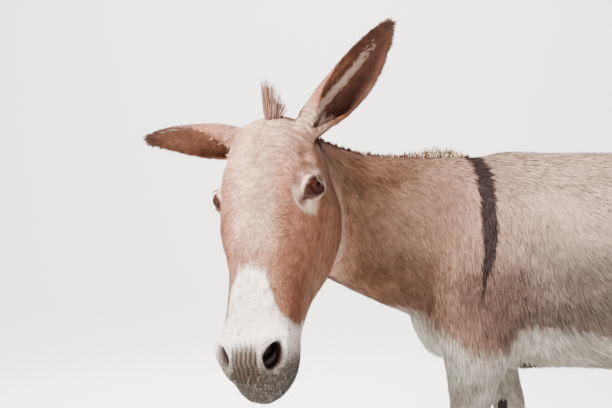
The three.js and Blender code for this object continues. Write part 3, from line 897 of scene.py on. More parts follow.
def earMarks(points, normals):
    # The hollow of the ears, its dark rims and tips, the painted shadow in its hollow, and its pale parts.
    inside, rim, stripe, tip, dark, tans = np.zeros((6, len(points)))
    for side, look in earLook.items():
        ear = toEar(points, side)
        here = ease(ear[:, 0], 0.0, 0.03) * (np.linalg.norm(ear[:, 1:], axis=1) < 0.09)
        share = ear[:, 0] / earLength
        aside = ear[:, 2] / np.interp(share, *earHalf)
        inside = np.maximum(inside, here * earInside(points, normals, side))
        darkRim = np.where(aside > 0, look["dark"], ease(share, 0.50, 0.75))
        rim = np.maximum(rim, here * ease(ear[:, 1], -0.010, 0.004) * ease(share, 0.10, 0.3) * darkRim)
        streak = np.exp(-(((aside - look["streak"]) / look["streakHalf"]) ** 2)) * ease(-share, -0.85, -0.55)
        stripe = np.maximum(stripe, here * np.maximum(streak, ease(-share, -0.14, -0.06)))
        tan = ease(look["tan"] - aside, 0.0, 0.25)
        tan = tan * ease(-share, -look["tanTo"] - 0.08, -look["tanTo"] + 0.06)
        tans = np.maximum(tans, here * tan)
        tip = np.maximum(tip, here * ease(share, 0.80, 0.97))
        edge = np.exp(-(((aside - look["tan"] - 0.12) / 0.14) ** 2)) * ease(share, 0.12, 0.35)
        shadow = np.maximum(ease(aside, -0.05, 0.40) * ease(share, 0.05, 0.25), edge)
        dark = np.maximum(dark, here * look["dark"] * shadow)
    inside = inside * (1 - tans)
    darkest = clip01(np.maximum(np.maximum(rim, tip), 0.85 * dark * inside))
    return {"earInside": inside, "earDark": darkest, "earStripe": stripe * inside}


def markings(points, normals):
    body = toBody(points)
    head = toHead(points)
    onHead = headShare(points)
    onEar = earShare(points)
    x, _, z = body.T
    down, out, left = head.T
    wide = np.abs(left)
    marks = {}
    marks["warm"] = np.interp(x, [-0.25, -0.05, 0.15, 0.40], [1.0, 0.75, 0.35, 0.12])
    sides = ease(wide, 0.020, 0.056) * ease(down, 0.06, 0.16) * (1 - 0.60 * ease(-out, 0.06, 0.12))
    brow = ease(down, 0.02, 0.08) * ease(wide, 0.05, 0.08)
    # the red of the face's sides and brow, and of the ears' backs
    marks["rufous"] = clip01(onHead * np.maximum(sides, 0.7 * brow) + 0.75 * onEar)
    edge = 0.300 + 0.092 * ease(wide, 0.018, 0.058)
    edge = edge + ease(-out, 0.07, 0.11) * (0.365 - edge)
    # the muzzle's white, counted in metres inside its edge, and the grey ahead of it
    marks["white"] = np.where(onHead > 0.3, down - edge, -0.3)
    marks["grey"] = onHead * ease(down + 0.5 * clip01((-out - 0.015) / 0.05) * 0.05, 0.425, 0.495)
    marks["face"] = onHead * (1 - onEar)
    window, wave = foldFields(points)
    # 1 in the grooves between the upright folds, where painted shade goes
    marks["fold"] = window * (1 - ease(wave, 0.15, 0.75))
    marks["between"] = ease(window, 0.0, 0.9) * ease(down, 0.430, 0.462) * (1 - 0.18 * ease(wave, 0.5, 1.0))
    marks["nostril"] = ease(-leastSpread(nostrilSpread, points), -1.02, -0.72)
    lid = leastSpread(eyeSpread, points)
    marks["ring"] = ease(-lid, -2.1, -1.35)
    marks["lidEdge"] = np.maximum(ease(-lid, -1.30, -1.08), innerCorner(points))
    slit = np.abs(out - mouthLine(down))
    lips = onHead * ease(down, mouth["corner"] - 0.02, mouth["corner"] + 0.05)
    lower = onHead * ease(down, 0.435, 0.475) * ease(mouthLine(down) - out, -0.002, 0.004)
    marks["lip"] = np.maximum(lips * ease(-slit, -0.010, -0.002), 0.85 * lower)
    marks["pale"] = np.where(onHead > 0.5, -0.3, paleEdge(x) - z)  # metres inside the pale underside's edge
    flank = 0.97 * ease(-z, -1.02, -0.84) * ease(x, -0.15, 0.06) * ease(-x, -0.98, -0.50)
    flank = flank * (0.5 + 0.5 * ease(z, 0.68, 0.76))
    neckShade = np.maximum(ease(-z, -0.96, -0.86), 0.6 * ease(z, 1.03, 1.08)) * ease(-x, 0.04, 0.14)
    marks["low"] = (flank + neckShade) * (1 - onHead)  # painted shade: darker low on the flanks, under the neck and high up the neck
    marks["spot"] = spotShare(points)
    # a painted highlight along the jaw's rear edge
    line = np.exp(-(((aheadOfJaw(head) - 0.020) / 0.008) ** 2))
    marks["jawHighlight"] = line * ease(down, 0.05, 0.10) * (wide > 0.03)
    marks.update(earMarks(points, normals))
    return marks


# The marks travel to the materials three to an attribute.
markSets = {
    "marksHead": ("rufous", "white", "grey"),
    "marksFace": ("nostril", "ring", "lidEdge"),
    "marksBody": ("warm", "pale", "lip"),
    "marksEar": ("earInside", "earDark", "earStripe"),
    "marksMuzzle": ("face", "fold", "between"),
    "marksPatch": ("low", "spot", "jawHighlight"),
}


# The lie of the coat.
whorl = {"down": 0.262, "wide": 0.085}


def headLie(points):
    head = toHead(points)
    down, out, left = head.T
    side = np.sign(left)
    turn = np.minimum(np.abs(left) / whorl["wide"], 1.0) * math.pi * 0.86
    above = np.stack([-np.cos(turn), 0 * turn, side * np.sin(turn)], axis=1)
    aside = 0.25 * side * ease(np.abs(left), 0.0, 0.03)
    below = np.stack([np.ones(len(down)), -0.1 + 0 * down, aside], axis=1)
    share = ease(down, whorl["down"] - 0.012, whorl["down"] + 0.012)[:, None]
    flow = above * (1 - share) + below * share
    cheek = np.stack([0.95 + 0 * down, -0.30 + 0 * down, 0 * down], axis=1)
    back = ease(-out, 0.05, 0.09)[:, None]
    flow = flow * (1 - back) + cheek * back
    return flow @ headBasis


def bodyLie(points, normals):
    x, y, z = toBody(points).T
    flank = np.stack([0.72 + 0 * x, 0 * x, -0.70 + 0 * x], axis=1)
    back = np.array([1.0, 0, -0.12])
    shoulder = np.array([0.22, 0, -1.0])
    rump = np.array([0.40, 0, -0.95])
    top = ease(normals[:, 2], 0.35, 0.85)[:, None]
    front = ease(-x, -0.30, -0.08)[:, None]
    rear = ease(x, 0.62, 0.86)[:, None]
    flow = flank * (1 - front) + shoulder * front
    flow = flow * (1 - rear) + rump * rear
    flow = flow * (1 - top) + back * top
    flow[:, 1] += 0.35 * np.sign(y) * top[:, 0]
    neck = ease(-x, 0.05, 0.16)[:, None]
    flow = flow * (1 - neck) + np.array([0.62, 0.22, -0.78]) * neck
    leg = ease(-z, -0.66, -0.58)[:, None]
    flow = flow * (1 - leg) + np.array([0.10, 0, -1.0]) * leg
    tail = ((x > 1.0) & (z < 1.02))[:, None]
    return np.where(tail, np.array([0.10, 0, -1.0]), flow)


def earLie(points, normals, side):
    axes = np.array(earAxes(side))
    ear = toEar(points, side)
    inside = earInside(points, normals, side)
    across = np.where(inside, 0.55 * np.sign(ear[:, 2]), 0.12 * np.sign(ear[:, 2]))
    return np.stack([np.ones(len(ear)), 0 * across, across], axis=1) @ axes


def coatLie(mesh, points, normals):
    onHead = headShare(points)[:, None]
    flow = bodyLie(points, normals) * (1 - onHead) + headLie(points) * onHead
    region = regionOf(points)
    for side in earPose:
        here = (region == regions.index("ear" + side.capitalize()))[:, None]
        flow = np.where(here, earLie(points, normals, side), flow)

    def flat(ways):
        return unit(ways - normals * (ways * normals).sum(1)[:, None])

    return flat(spreadOut(flat(flow), 0.5, 4, neighbourMean(mesh)))


coatSizes = {
    # hair length, width and tufts per square metre, for each part of the coat
    "trunk": (0.024, 0.0024, 135000),
    "neck": (0.020, 0.0021, 190000),
    "head": (0.0105, 0.0014, 380000),
    "muzzle": (0.0042, 0.0009, 170000),
    "ear": (0.0080, 0.0014, 230000),
    "leg": (0.0125, 0.0016, 210000),
    "tail": (0.0150, 0.0018, 190000),
}


def coatFields(points, normals):
    region = regionOf(points)
    fields = np.zeros((len(points), 3))
    for index, name in enumerate(regions):
        kind = "ear" if name.startswith("ear") else "leg" if name in legRegions else name
        fields[region == index] = coatSizes[kind]
    under = (1 - headShare(points)[:, None]) * ease(-normals[:, 2:], 0.3, 0.8)
    fields = fields * (1 + under * np.array([0.25, 0.0, 0.0]))
    muzzle = muzzleShare(points)[:, None]
    fields = fields * (1 - muzzle) + np.array(coatSizes["muzzle"]) * muzzle
    lid = leastSpread(eyeSpread, points)
    fields = fields * (1 + ease(-lid[:, None], -2.6, -1.4) * np.array([-0.55, -0.45, 0.30]))
    bare = np.maximum(ease(-lid, -1.25, -1.02), ease(-leastSpread(nostrilSpread, points), -1.3, -1.0))
    fields[:, 2] *= (1 - bare) * (1 - 0.75 * foldFields(points)[0])
    return fields


def prepareSkin(mesh):
    points = readPlaces(mesh)
    normals = readNormals(mesh)
    unwrapSkin(mesh)
    marks = markings(points, normals)
    for name, members in markSets.items():
        storeField(mesh, name, np.stack([marks[m] for m in members], axis=1))
    storeField(mesh, "hairLie", coatLie(mesh, points, normals))
    fields = coatFields(points, normals)
    for column, name in enumerate(("hairLength", "hairWidth", "growth")):
        storeField(mesh, name, fields[:, column])


prepareSkin(skinMesh)
report("markings and lie of the coat")


# Shader groups.
def newGroup(name, inputs, outputs):
    group = bpy.data.node_groups.new(name, "ShaderNodeTree")
    kinds = {"float": "NodeSocketFloat", "color": "NodeSocketColor", "vector": "NodeSocketVector"}
    for label, kind, value in inputs:
        socket = group.interface.new_socket(name=label, in_out="INPUT", socket_type=kinds[kind])
        if value is not None:
            socket.default_value = value
    for label, kind in outputs:
        group.interface.new_socket(name=label, in_out="OUTPUT", socket_type=kinds[kind])
    return group


class Wires:
    # Short words for adding and joining shader nodes in one tree.
    def __init__(self, tree):
        self.tree = tree
        self.column = 0

    def add(self, kind, **settings):
        node = self.tree.nodes.new(kind)
        node.location = (self.column, 0)
        self.column += 180
        for key, value in settings.items():
            setattr(node, key, value)
        return node

    def put(self, source, target):
        if isinstance(source, bpy.types.NodeSocket):
            self.tree.links.new(source, target)
        else:
            target.default_value = source

    def math(self, operation, *values):
        node = self.add("ShaderNodeMath", operation=operation)
        for value, socket in zip(values, node.inputs):
            self.put(value, socket)
        return node.outputs[0]

    def ramp(self, value, low, high):
        # 0 at low and 1 at high, eased; low may be above high
        node = self.add("ShaderNodeMapRange", interpolation_type="SMOOTHSTEP")
        self.put(value, node.inputs["Value"])
        self.put(low, node.inputs["From Min"])
        self.put(high, node.inputs["From Max"])
        return node.outputs["Result"]

    def plus(self, a, b):
        return self.math("ADD", a, b)

    def minus(self, a, b):
        return self.math("SUBTRACT", a, b)

    def times(self, a, b):
        return self.math("MULTIPLY", a, b)

    def most(self, a, b):
        return self.math("MAXIMUM", a, b)

    def mix(self, share, first, second, blend="MIX"):
        node = self.add("ShaderNodeMix", data_type="RGBA", blend_type=blend)
        self.put(share, node.inputs["Factor"])
        self.put(first, node.inputs[6])
        self.put(second, node.inputs[7])
        return node.outputs[2]

    def shade(self, color, amount):
        return self.mix(1, color, amount, "MULTIPLY")

    def noise(self, place, scale, detail=3.0, roughness=0.55):
        node = self.add("ShaderNodeTexNoise")
        self.put(place, node.inputs["Vector"])
        node.inputs["Scale"].default_value = scale
        node.inputs["Detail"].default_value = detail
        node.inputs["Roughness"].default_value = roughness
        return node.outputs["Fac"]

    def bump(self, height, distance, strength):
        node = self.add("ShaderNodeBump")
        node.inputs["Distance"].default_value = distance
        node.inputs["Strength"].default_value = strength
        self.put(height, node.inputs["Height"])
        return node.outputs[0]

    def split(self, vector):
        node = self.add("ShaderNodeSeparateXYZ")
        self.put(vector, node.inputs[0])
        return node.outputs

    def distance(self, place, point):
        node = self.add("ShaderNodeVectorMath", operation="DISTANCE")
        self.put(place, node.inputs[0])
        node.inputs[1].default_value = point
        return node.outputs["Value"]

    def moved(self, place, shift, scale=(1, 1, 1)):
        node = self.add("ShaderNodeMapping")
        self.put(place, node.inputs["Vector"])
        node.inputs["Location"].default_value = shift
        node.inputs["Scale"].default_value = scale
        return node.outputs[0]


coatColors = {
    "body": (0.410, 0.335, 0.290),
    # bodyDark and warmDark: painted shade low on the flanks and on the neck, and the dapple's darker blotches
    "bodyDark": (0.098, 0.088, 0.084),
    "warm": (0.285, 0.165, 0.118),
    "warmDark": (0.125, 0.062, 0.040),
    "brow": (0.520, 0.360, 0.285),
    # browDark also gives the painted shade in the forehead's partings
    "browDark": (0.270, 0.155, 0.110),
    "rufous": (0.318, 0.130, 0.078),
    "rufousDark": (0.215, 0.092, 0.058),
    "white": (0.760, 0.700, 0.655),
    "muzzleGrey": (0.095, 0.082, 0.070),
    "speck": (0.040, 0.034, 0.032),
    "between": (0.060, 0.042, 0.034),
    # painted shade in the grooves between the muzzle's folds
    "groove": (0.018, 0.011, 0.009),
    "lip": (0.070, 0.062, 0.062),
    "nostril": (0.030, 0.017, 0.015),
    "ring": (0.560, 0.420, 0.340),
    "lidEdge": (0.070, 0.028, 0.022),
    "pale": (0.460, 0.440, 0.400),
    "stripe": (0.034, 0.021, 0.022),
    # the ears' dark rims and tips, and the painted shadow in their hollows
    "earDark": (0.085, 0.036, 0.026),
    "earInside": (0.120, 0.052, 0.035),
    "earPale": (0.500, 0.350, 0.280),
    "bare": (0.035, 0.026, 0.026),
    # these only shade what is there
    "plain": (1, 1, 1),
    "paleShade": (0.68, 0.66, 0.65),
    "lowShade": (0.72, 0.71, 0.70),
    "whiteShade": (0.86, 0.84, 0.83),
    "fineDark": (0.90, 0.895, 0.89),
    "fineLight": (1.07, 1.07, 1.07),
    "hide": (0.93, 0.92, 0.91),
    "tuftDark": (0.54, 0.50, 0.48),
    "tuftLight": (1.30, 1.30, 1.29),
    "root": (0.88, 0.87, 0.86),
    "tip": (1.10, 1.10, 1.10),
}


def color(name):
    return (*coatColors[name], 1.0)


# The shoulder cross: heights, middle x and half width of its arm down the shoulder.
crossStripe = {
    "heights": (0.800, 0.880, 0.950, 1.040, 1.130),
    "middles": (-0.002, 0.008, 0.022, 0.022, -0.008),
    "halves": (0.000, 0.007, 0.015, 0.018, 0.020),
}


def curveNode(wires, value, heights, levels):
    # A smooth function of one number, given at a few heights.
    node = wires.add("ShaderNodeFloatCurve")
    low, high = heights[0], heights[-1]
    least, most = min(levels), max(levels)
    curve = node.mapping.curves[0]
    shares = [((h - low) / (high - low), (v - least) / (most - least)) for h, v in zip(heights, levels)]
    curve.points[0].location = shares[0]
    curve.points[1].location = shares[-1]
    for x, y in shares[1:-1]:
        curve.points.new(x, y)
    node.mapping.update()
    share = wires.math("DIVIDE", wires.minus(value, low), high - low)
    wires.put(wires.math("MINIMUM", wires.most(share, 0.0), 1.0), node.inputs["Value"])
    return wires.plus(wires.times(node.outputs[0], most - least), least)


markInputs = {"Head": "marksHead", "Face": "marksFace", "Body": "marksBody", "Ear": "marksEar",
              "Muzzle": "marksMuzzle", "Patch": "marksPatch"}
scars = (((0.081, -0.150, 1.082), 0.010), ((0.069, -0.155, 1.056), 0.006))  # small white marks on the withers


def coatColorGroup():
    group = newGroup(
        "donkeyCoat",
        [("Place", "vector", None)] + [(name, "vector", None) for name in markInputs],
        [("Color", "color"), ("Wet", "float")],
    )
    w = Wires(group)
    given = w.add("NodeGroupInput").outputs
    place = w.moved(given["Place"], [-v for v in bodyShift])
    x, y, z = w.split(place)
    rufous, white, grey = w.split(given["Head"])
    nostril, ring, lidEdge = w.split(given["Face"])
    warm, pale, lip = w.split(given["Body"])
    earInside, earDark, earStripe = w.split(given["Ear"])
    face, fold, between = w.split(given["Muzzle"])
    low, spot, jawHighlight = w.split(given["Patch"])
    large = w.noise(place, 5.0, 3.0)
    patch = w.noise(place, 16.0, 4.0)
    fine = w.noise(place, 110.0, 3.0, 0.65)
    ragged = w.minus(w.noise(place, 55.0, 4.0, 0.7), 0.5)

    def roughened(value, amount):
        return w.plus(value, w.times(ragged, amount))

    def painted(share, name):
        return w.mix(share, result, color(name))

    # the body: darker low on the sides and on the neck with painted shade, blotched by the dapple, and warmer
    # on the neck
    dapple = w.plus(w.times(large, 0.6), w.times(patch, 0.4))
    shade = w.plus(w.times(low, 0.85), w.times(w.ramp(dapple, 0.60, 0.40), 0.28))
    body = w.mix(shade, color("body"), color("bodyDark"))
    warmShade = w.plus(w.times(low, 0.75), w.times(w.ramp(dapple, 0.58, 0.40), 0.6))
    warmth = w.mix(warmShade, color("warm"), color("warmDark"))
    result = w.mix(w.plus(warm, w.times(w.minus(large, 0.5), 0.5)), body, warmth)

    # the face: its forehead has waves about the whorl, with painted shade in the partings between them
    whorlPlace = tuple(toBody(np.array(headPoint(whorl["down"], 0.0, 0.0))))
    underPlace = tuple(toBody(np.array(headPoint(whorl["down"] + 0.040, 0.0, 0.0))))
    around = w.distance(place, whorlPlace)
    wave = w.times(w.plus(around, w.times(w.noise(place, 26.0, 2.0), 0.035)), 520.0)
    wave = w.plus(w.times(w.math("SINE", wave), 0.5), 0.5)
    brow = w.mix(w.times(w.ramp(wave, 0.60, 0.0), 0.70), color("brow"), color("browDark"))
    under = w.times(w.ramp(w.distance(place, underPlace), 0.065, 0.015), 0.8)
    brow = w.mix(w.plus(w.times(w.ramp(dapple, 0.60, 0.34), 0.8), under), brow, color("browDark"))
    result = w.mix(face, result, brow)
    red = w.mix(w.ramp(dapple, 0.62, 0.40), color("rufous"), color("rufousDark"))
    result = w.mix(w.times(rufous, w.plus(0.80, w.times(ragged, 0.8))), result, red)
    # painted highlight along the jaw's rear edge, in the ear streak's pale
    result = painted(w.times(jawHighlight, 0.75), "earPale")

    edge = roughened(pale, 0.09)
    paleShade = w.mix(w.ramp(patch, 0.35, 0.6), w.shade(color("pale"), color("paleShade")), color("pale"))
    paleShade = w.shade(paleShade, w.mix(w.ramp(z, 0.75, 0.66), color("plain"), color("lowShade")))
    result = w.mix(w.ramp(edge, -0.018, 0.026), result, paleShade)

    # the cross over the shoulders and the line down the back
    middle = curveNode(w, z, crossStripe["heights"], crossStripe["middles"])
    half = curveNode(w, z, crossStripe["heights"], crossStripe["halves"])
    beside = w.math("ABSOLUTE", w.minus(x, middle))
    beside = roughened(beside, 0.012)
    arm = w.ramp(w.minus(half, beside), -0.002, 0.003)
    arm = w.times(arm, w.ramp(z, crossStripe["heights"][0], crossStripe["heights"][0] + 0.02))
    arm = w.times(arm, w.ramp(x, -0.14, -0.08))
    fromMiddle = roughened(w.math("ABSOLUTE", y), 0.012)
    alongBack = w.most(w.ramp(z, 0.96, 1.0), w.ramp(x, 0.99, 1.03))
    spine = w.times(w.ramp(fromMiddle, 0.016, 0.009), alongBack)
    spine = w.times(spine, w.ramp(x, -0.06, 0.0))
    result = painted(w.most(arm, spine), "stripe")
    for scar, radius in scars:
        result = painted(w.ramp(w.distance(place, scar), radius * 1.3, radius * 0.7), "white")

    # the muzzle: white above, speckled grey towards the lips, brown between the nostrils
    muzzleEdge = roughened(white, 0.040)
    muzzleWhite = w.mix(w.ramp(patch, 0.3, 0.6), w.shade(color("white"), color("whiteShade")), color("white"))
    result = w.mix(w.ramp(muzzleEdge, -0.008, 0.016), result, muzzleWhite)
    greyShare = w.times(grey, w.ramp(w.noise(place, 240.0, 3.0, 0.7), 0.20, 0.50))
    result = painted(w.most(greyShare, w.times(grey, 0.80)), "muzzleGrey")
    specks = w.noise(place, 330.0, 3.0, 0.6)
    speckled = w.times(w.ramp(w.plus(specks, w.times(grey, 0.18)), 0.50, 0.80), 0.75)
    result = painted(w.times(speckled, w.ramp(grey, 0.02, 0.25)), "speck")
    freckle = w.times(w.ramp(w.noise(place, 95.0, 1.0), 0.72, 0.76), w.ramp(white, 0.0, 0.02))
    result = painted(w.times(freckle, 0.7), "speck")
    result = painted(w.times(between, 0.98), "between")
    # painted shade in the grooves between the upright folds
    result = painted(w.times(fold, 0.80), "groove")
    result = painted(w.times(ring, w.ramp(patch, 0.10, 0.45)), "ring")
    result = painted(lidEdge, "lidEdge")
    result = painted(w.ramp(roughened(lip, 0.5), 0.25, 0.80), "lip")
    result = painted(nostril, "nostril")

    hollow = w.mix(w.ramp(roughened(earStripe, 1.3), 0.30, 1.05), color("earInside"), color("earPale"))
    result = w.mix(earInside, result, hollow)
    # the ears' dark rims and tips, with the painted shadow in the hollow
    result = painted(w.ramp(roughened(earDark, 0.5), 0.25, 0.95), "earDark")
    result = painted(w.ramp(roughened(spot, 0.4), 0.4, 0.7), "bare")
    result = w.shade(result, w.mix(w.ramp(fine, 0.30, 0.70), color("fineDark"), color("fineLight")))
    wet = w.most(w.most(nostril, lidEdge), w.times(lip, 0.5))
    out = w.add("NodeGroupOutput")
    w.put(result, out.inputs["Color"])
    w.put(wet, out.inputs["Wet"])
    return group


coatGroup = coatColorGroup()


def newMaterial(name):
    material = bpy.data.materials.new(name)
    material.use_nodes = True
    wires = Wires(material.node_tree)
    return material, wires, material.node_tree.nodes["Principled BSDF"]


def setSurface(shader, roughness, specular):
    shader.inputs["Roughness"].default_value = roughness
    shader.inputs["Specular IOR Level"].default_value = specular


def attribute(wires, name):
    return wires.add("ShaderNodeAttribute", attribute_name=name)


def coatColorIn(wires, place):
    node = wires.add("ShaderNodeGroup", node_tree=coatGroup)
    wires.put(place, node.inputs["Place"])
    for socket, name in markInputs.items():
        wires.put(attribute(wires, name).outputs["Vector"], node.inputs[socket])
    return node.outputs


def skinMaterial():
    material, w, shader = newMaterial("skinHide")
    place = w.add("ShaderNodeTexCoord").outputs["Object"]
    look = coatColorIn(w, place)
    w.put(w.shade(look["Color"], color("hide")), shader.inputs["Base Color"])
    rough = w.minus(0.86, w.times(look["Wet"], 0.5))
    w.put(rough, shader.inputs["Roughness"])
    hide = w.plus(w.noise(place, 160.0, 4.0, 0.7), w.times(w.noise(place, 700.0, 2.0), 0.5))
    w.put(w.bump(hide, 0.002, 0.5), shader.inputs["Normal"])
    shader.inputs["Specular IOR Level"].default_value = 0.3
    return material


def coatMaterial():
    material, w, shader = newMaterial("coatHair")
    place = attribute(w, "rootPlace").outputs["Vector"]
    look = coatColorIn(w, place)
    shade = attribute(w, "tuftShade").outputs["Fac"]
    along = attribute(w, "alongTuft").outputs["Fac"]
    tint = w.mix(shade, color("tuftDark"), color("tuftLight"))
    light = w.mix(w.ramp(along, 0.0, 1.0), color("root"), color("tip"))
    w.put(w.shade(w.shade(look["Color"], tint), light), shader.inputs["Base Color"])
    setSurface(shader, 0.72, 0.25)
    return material


skinMesh.materials.append(skinMaterial())
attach(skin, "root")
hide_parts(*fleshNodes)


# The coat's tufts.
def tuftObject(name, rows):
    # One lock of hair, a unit long: its place along, height and half width at each row. Both ends are points.
    points = []
    for along, high, half in rows:
        points += [(along, -half, high), (along, half, high)] if half else [(along, 0.0, high)]
    last = len(points) - 1
    faces = [(0, 1, 2), (last - 2, last, last - 1)]
    faces += [(a, a + 2, a + 3, a + 1) for a in range(1, last - 3, 2)]
    mesh = bpy.data.meshes.new(name)
    mesh.from_pydata(points, [], faces)
    layer = mesh.uv_layers.new(name="tuftPlace")
    for loop in mesh.loops:
        x, y, _ = points[loop.vertex_index]
        layer.data[loop.index].uv = (max(x, 0.0), y + 0.5)
    storeField(mesh, "alongTuft", np.array([max(p[0], 0.0) for p in points]))
    mesh.shade_smooth()
    item = meshObject(name, mesh)
    item.hide_render = True
    item.hide_viewport = True
    return item


tuftLook = {
    "lengths": (0.65, 1.25),  # shares of the length and the width that chance gives each tuft
    "widths": (0.6, 1.3),
    "ripple": 75.0,  # scale of the noise that shades and bends neighbouring tufts alike
    "rippleShade": 1.3,
    "chanceShade": 0.5,
    "bend": 0.9,
    "ownNormal": 0.55,  # how much of its own facing a tuft keeps, beside the skin's
    "patch": 0.003,  # size of a tuft on the unwrap
}


def coatTree():
    tree = bpy.data.node_groups.new("growCoat", "GeometryNodeTree")
    face = tree.interface
    face.new_socket(name="Geometry", in_out="OUTPUT", socket_type="NodeSocketGeometry")
    for name, kind in (("Skin", "Geometry"), ("Tuft", "Object"), ("Material", "Material"), ("Share", "Float"),
                       ("Long", "Float"), ("Wide", "Float"), ("Lift", "Float"), ("Stray", "Float"),
                       ("Seed", "Int")):
        face.new_socket(name=name, in_out="INPUT", socket_type="NodeSocket" + kind)
    nodes, links = tree.nodes, tree.links
    given = nodes.new("NodeGroupInput").outputs

    def node(kind, inputs, **settings):
        made = nodes.new(kind)
        for key, value in settings.items():
            setattr(made, key, value)
        for key, value in inputs.items():
            socket = made.inputs[key]
            if isinstance(value, bpy.types.NodeSocket):
                links.new(value, socket)
            else:
                socket.default_value = value
        return made

    def named(name, kind):
        return node("GeometryNodeInputNamedAttribute", {"Name": name}, data_type=kind).outputs["Attribute"]

    def calc(operation, a, b):
        return node("ShaderNodeMath", {0: a, 1: b}, operation=operation).outputs[0]

    def vectorCalc(operation, inputs):
        return node("ShaderNodeVectorMath", inputs, operation=operation).outputs[0]

    def chance(low, high, salt):
        seed = calc("ADD", given["Seed"], salt)
        return node("FunctionNodeRandomValue", {2: low, 3: high, "Seed": seed}).outputs[1]

    density = calc("MULTIPLY", named("growth", "FLOAT"), given["Share"])
    scatterInputs = {"Mesh": given["Skin"], "Density": density, "Seed": given["Seed"]}
    scatter = node("GeometryNodeDistributePointsOnFaces", scatterInputs, distribute_method="RANDOM")
    jitter = nodes.new("FunctionNodeRandomValue")
    jitter.data_type = "FLOAT_VECTOR"
    jitter.inputs[0].default_value = (-1, -1, -1)
    jitter.inputs[1].default_value = (1, 1, 1)
    links.new(given["Seed"], jitter.inputs["Seed"])
    raised = vectorCalc("SCALE", {0: scatter.outputs["Normal"], "Scale": given["Lift"]})
    stray = vectorCalc("SCALE", {0: jitter.outputs[0], "Scale": given["Stray"]})
    way = vectorCalc("ADD", {0: named("hairLie", "FLOAT_VECTOR"), 1: raised})
    way = vectorCalc("ADD", {0: way, 1: stray})
    turned = nodes.new("FunctionNodeAxesToRotation")
    turned.primary_axis = "X"
    turned.secondary_axis = "Z"

    # what the turn and the size need is kept on the points before they carry tufts
    def keep(geometry, name, kind, value, domain="POINT"):
        made = node("GeometryNodeStoreNamedAttribute", {"Geometry": geometry, "Name": name}, data_type=kind,
                    domain=domain)
        links.new(value, made.inputs["Value"])
        return made.outputs["Geometry"]

    points = keep(scatter.outputs["Points"], "hairWay", "FLOAT_VECTOR", way)
    points = keep(points, "hairUp", "FLOAT_VECTOR", scatter.outputs["Normal"])
    position = nodes.new("GeometryNodeInputPosition").outputs[0]
    points = keep(points, "rootPlace", "FLOAT_VECTOR", position)
    ripple = node("ShaderNodeTexNoise", {"Vector": position, "Scale": tuftLook["ripple"], "Detail": 2.0})
    clump = calc("ADD", calc("MULTIPLY", chance(0.0, 1.0, 11), tuftLook["chanceShade"]),
                 calc("MULTIPLY", ripple.outputs[0], tuftLook["rippleShade"]))
    points = keep(points, "tuftShade", "FLOAT", calc("SUBTRACT", clump, 0.4))
    bend = vectorCalc("SUBTRACT", {0: ripple.outputs["Color"], 1: (0.5, 0.5, 0.5)})
    bend = vectorCalc("SCALE", {0: bend, "Scale": tuftLook["bend"]})
    softUp = vectorCalc("ADD", {0: scatter.outputs["Normal"], 1: bend})
    points = keep(points, "softUp", "FLOAT_VECTOR", softUp)
    links.new(named("hairWay", "FLOAT_VECTOR"), turned.inputs["Primary Axis"])
    links.new(named("hairUp", "FLOAT_VECTOR"), turned.inputs["Secondary Axis"])
    length = calc("MULTIPLY", named("hairLength", "FLOAT"), given["Long"])
    length = calc("MULTIPLY", length, chance(*tuftLook["lengths"], 23))
    width = calc("MULTIPLY", named("hairWidth", "FLOAT"), given["Wide"])
    width = calc("MULTIPLY", width, chance(*tuftLook["widths"], 37))
    size = node("ShaderNodeCombineXYZ", {"X": length, "Y": width, "Z": length}).outputs[0]
    tuft = node("GeometryNodeObjectInfo", {"Object": given["Tuft"]}).outputs["Geometry"]
    placed = node("GeometryNodeInstanceOnPoints", {"Points": points, "Instance": tuft,
                                                   "Rotation": turned.outputs[0], "Scale": size})
    whole = node("GeometryNodeRealizeInstances", {"Geometry": placed.outputs[0]}).outputs[0]
    # a lock is shaded mostly as the coat's own surface, so that flat hair looks soft
    facing = nodes.new("GeometryNodeInputNormal").outputs[0]
    own = vectorCalc("SCALE", {0: facing, "Scale": tuftLook["ownNormal"]})
    soft = vectorCalc("NORMALIZE", {0: vectorCalc("ADD", {0: named("softUp", "FLOAT_VECTOR"), 1: own})})
    whole = node("GeometryNodeSetMeshNormal", {"Mesh": whole}, mode="FREE", domain="POINT")
    links.new(soft, whole.inputs["Custom Normal"])
    whole = whole.outputs[0]
    patch = vectorCalc("SCALE", {0: named("tuftPlace", "FLOAT_VECTOR"), "Scale": tuftLook["patch"]})
    corner = vectorCalc("ADD", {0: named("skinUnwrap", "FLOAT_VECTOR"), 1: patch})
    mapped = keep(whole, "OFBake", "FLOAT2", corner, "CORNER")
    dressed = node("GeometryNodeSetMaterial", {"Geometry": mapped, "Material": given["Material"]})
    out = nodes.new("NodeGroupOutput")
    links.new(dressed.outputs[0], out.inputs[0])
    return tree


growCoat = coatTree()
helperNames = ("hairLie", "hairLength", "hairWidth", "growth", "hairWay", "hairUp", "softUp", "tuftPlace",
               "skinUnwrap")


def skinPart(name, keep):
    # The skin's faces where keep(middles) is true, with all that the tufts read.
    whole = bmesh.new()
    whole.from_mesh(skinMesh)
    middles = np.array([face.calc_center_median() for face in whole.faces])
    kept = keep(middles)
    bmesh.ops.delete(whole, geom=[f for f, yes in zip(whole.faces, kept) if not yes], context="FACES")
    mesh = bpy.data.meshes.new(name)
    whole.to_mesh(mesh)
    whole.free()
    return meshObject(name, mesh)


def dropHelpers(mesh):
    for name in helperNames:
        layer = mesh.attributes.get(name)
        if layer:
            mesh.attributes.remove(layer)


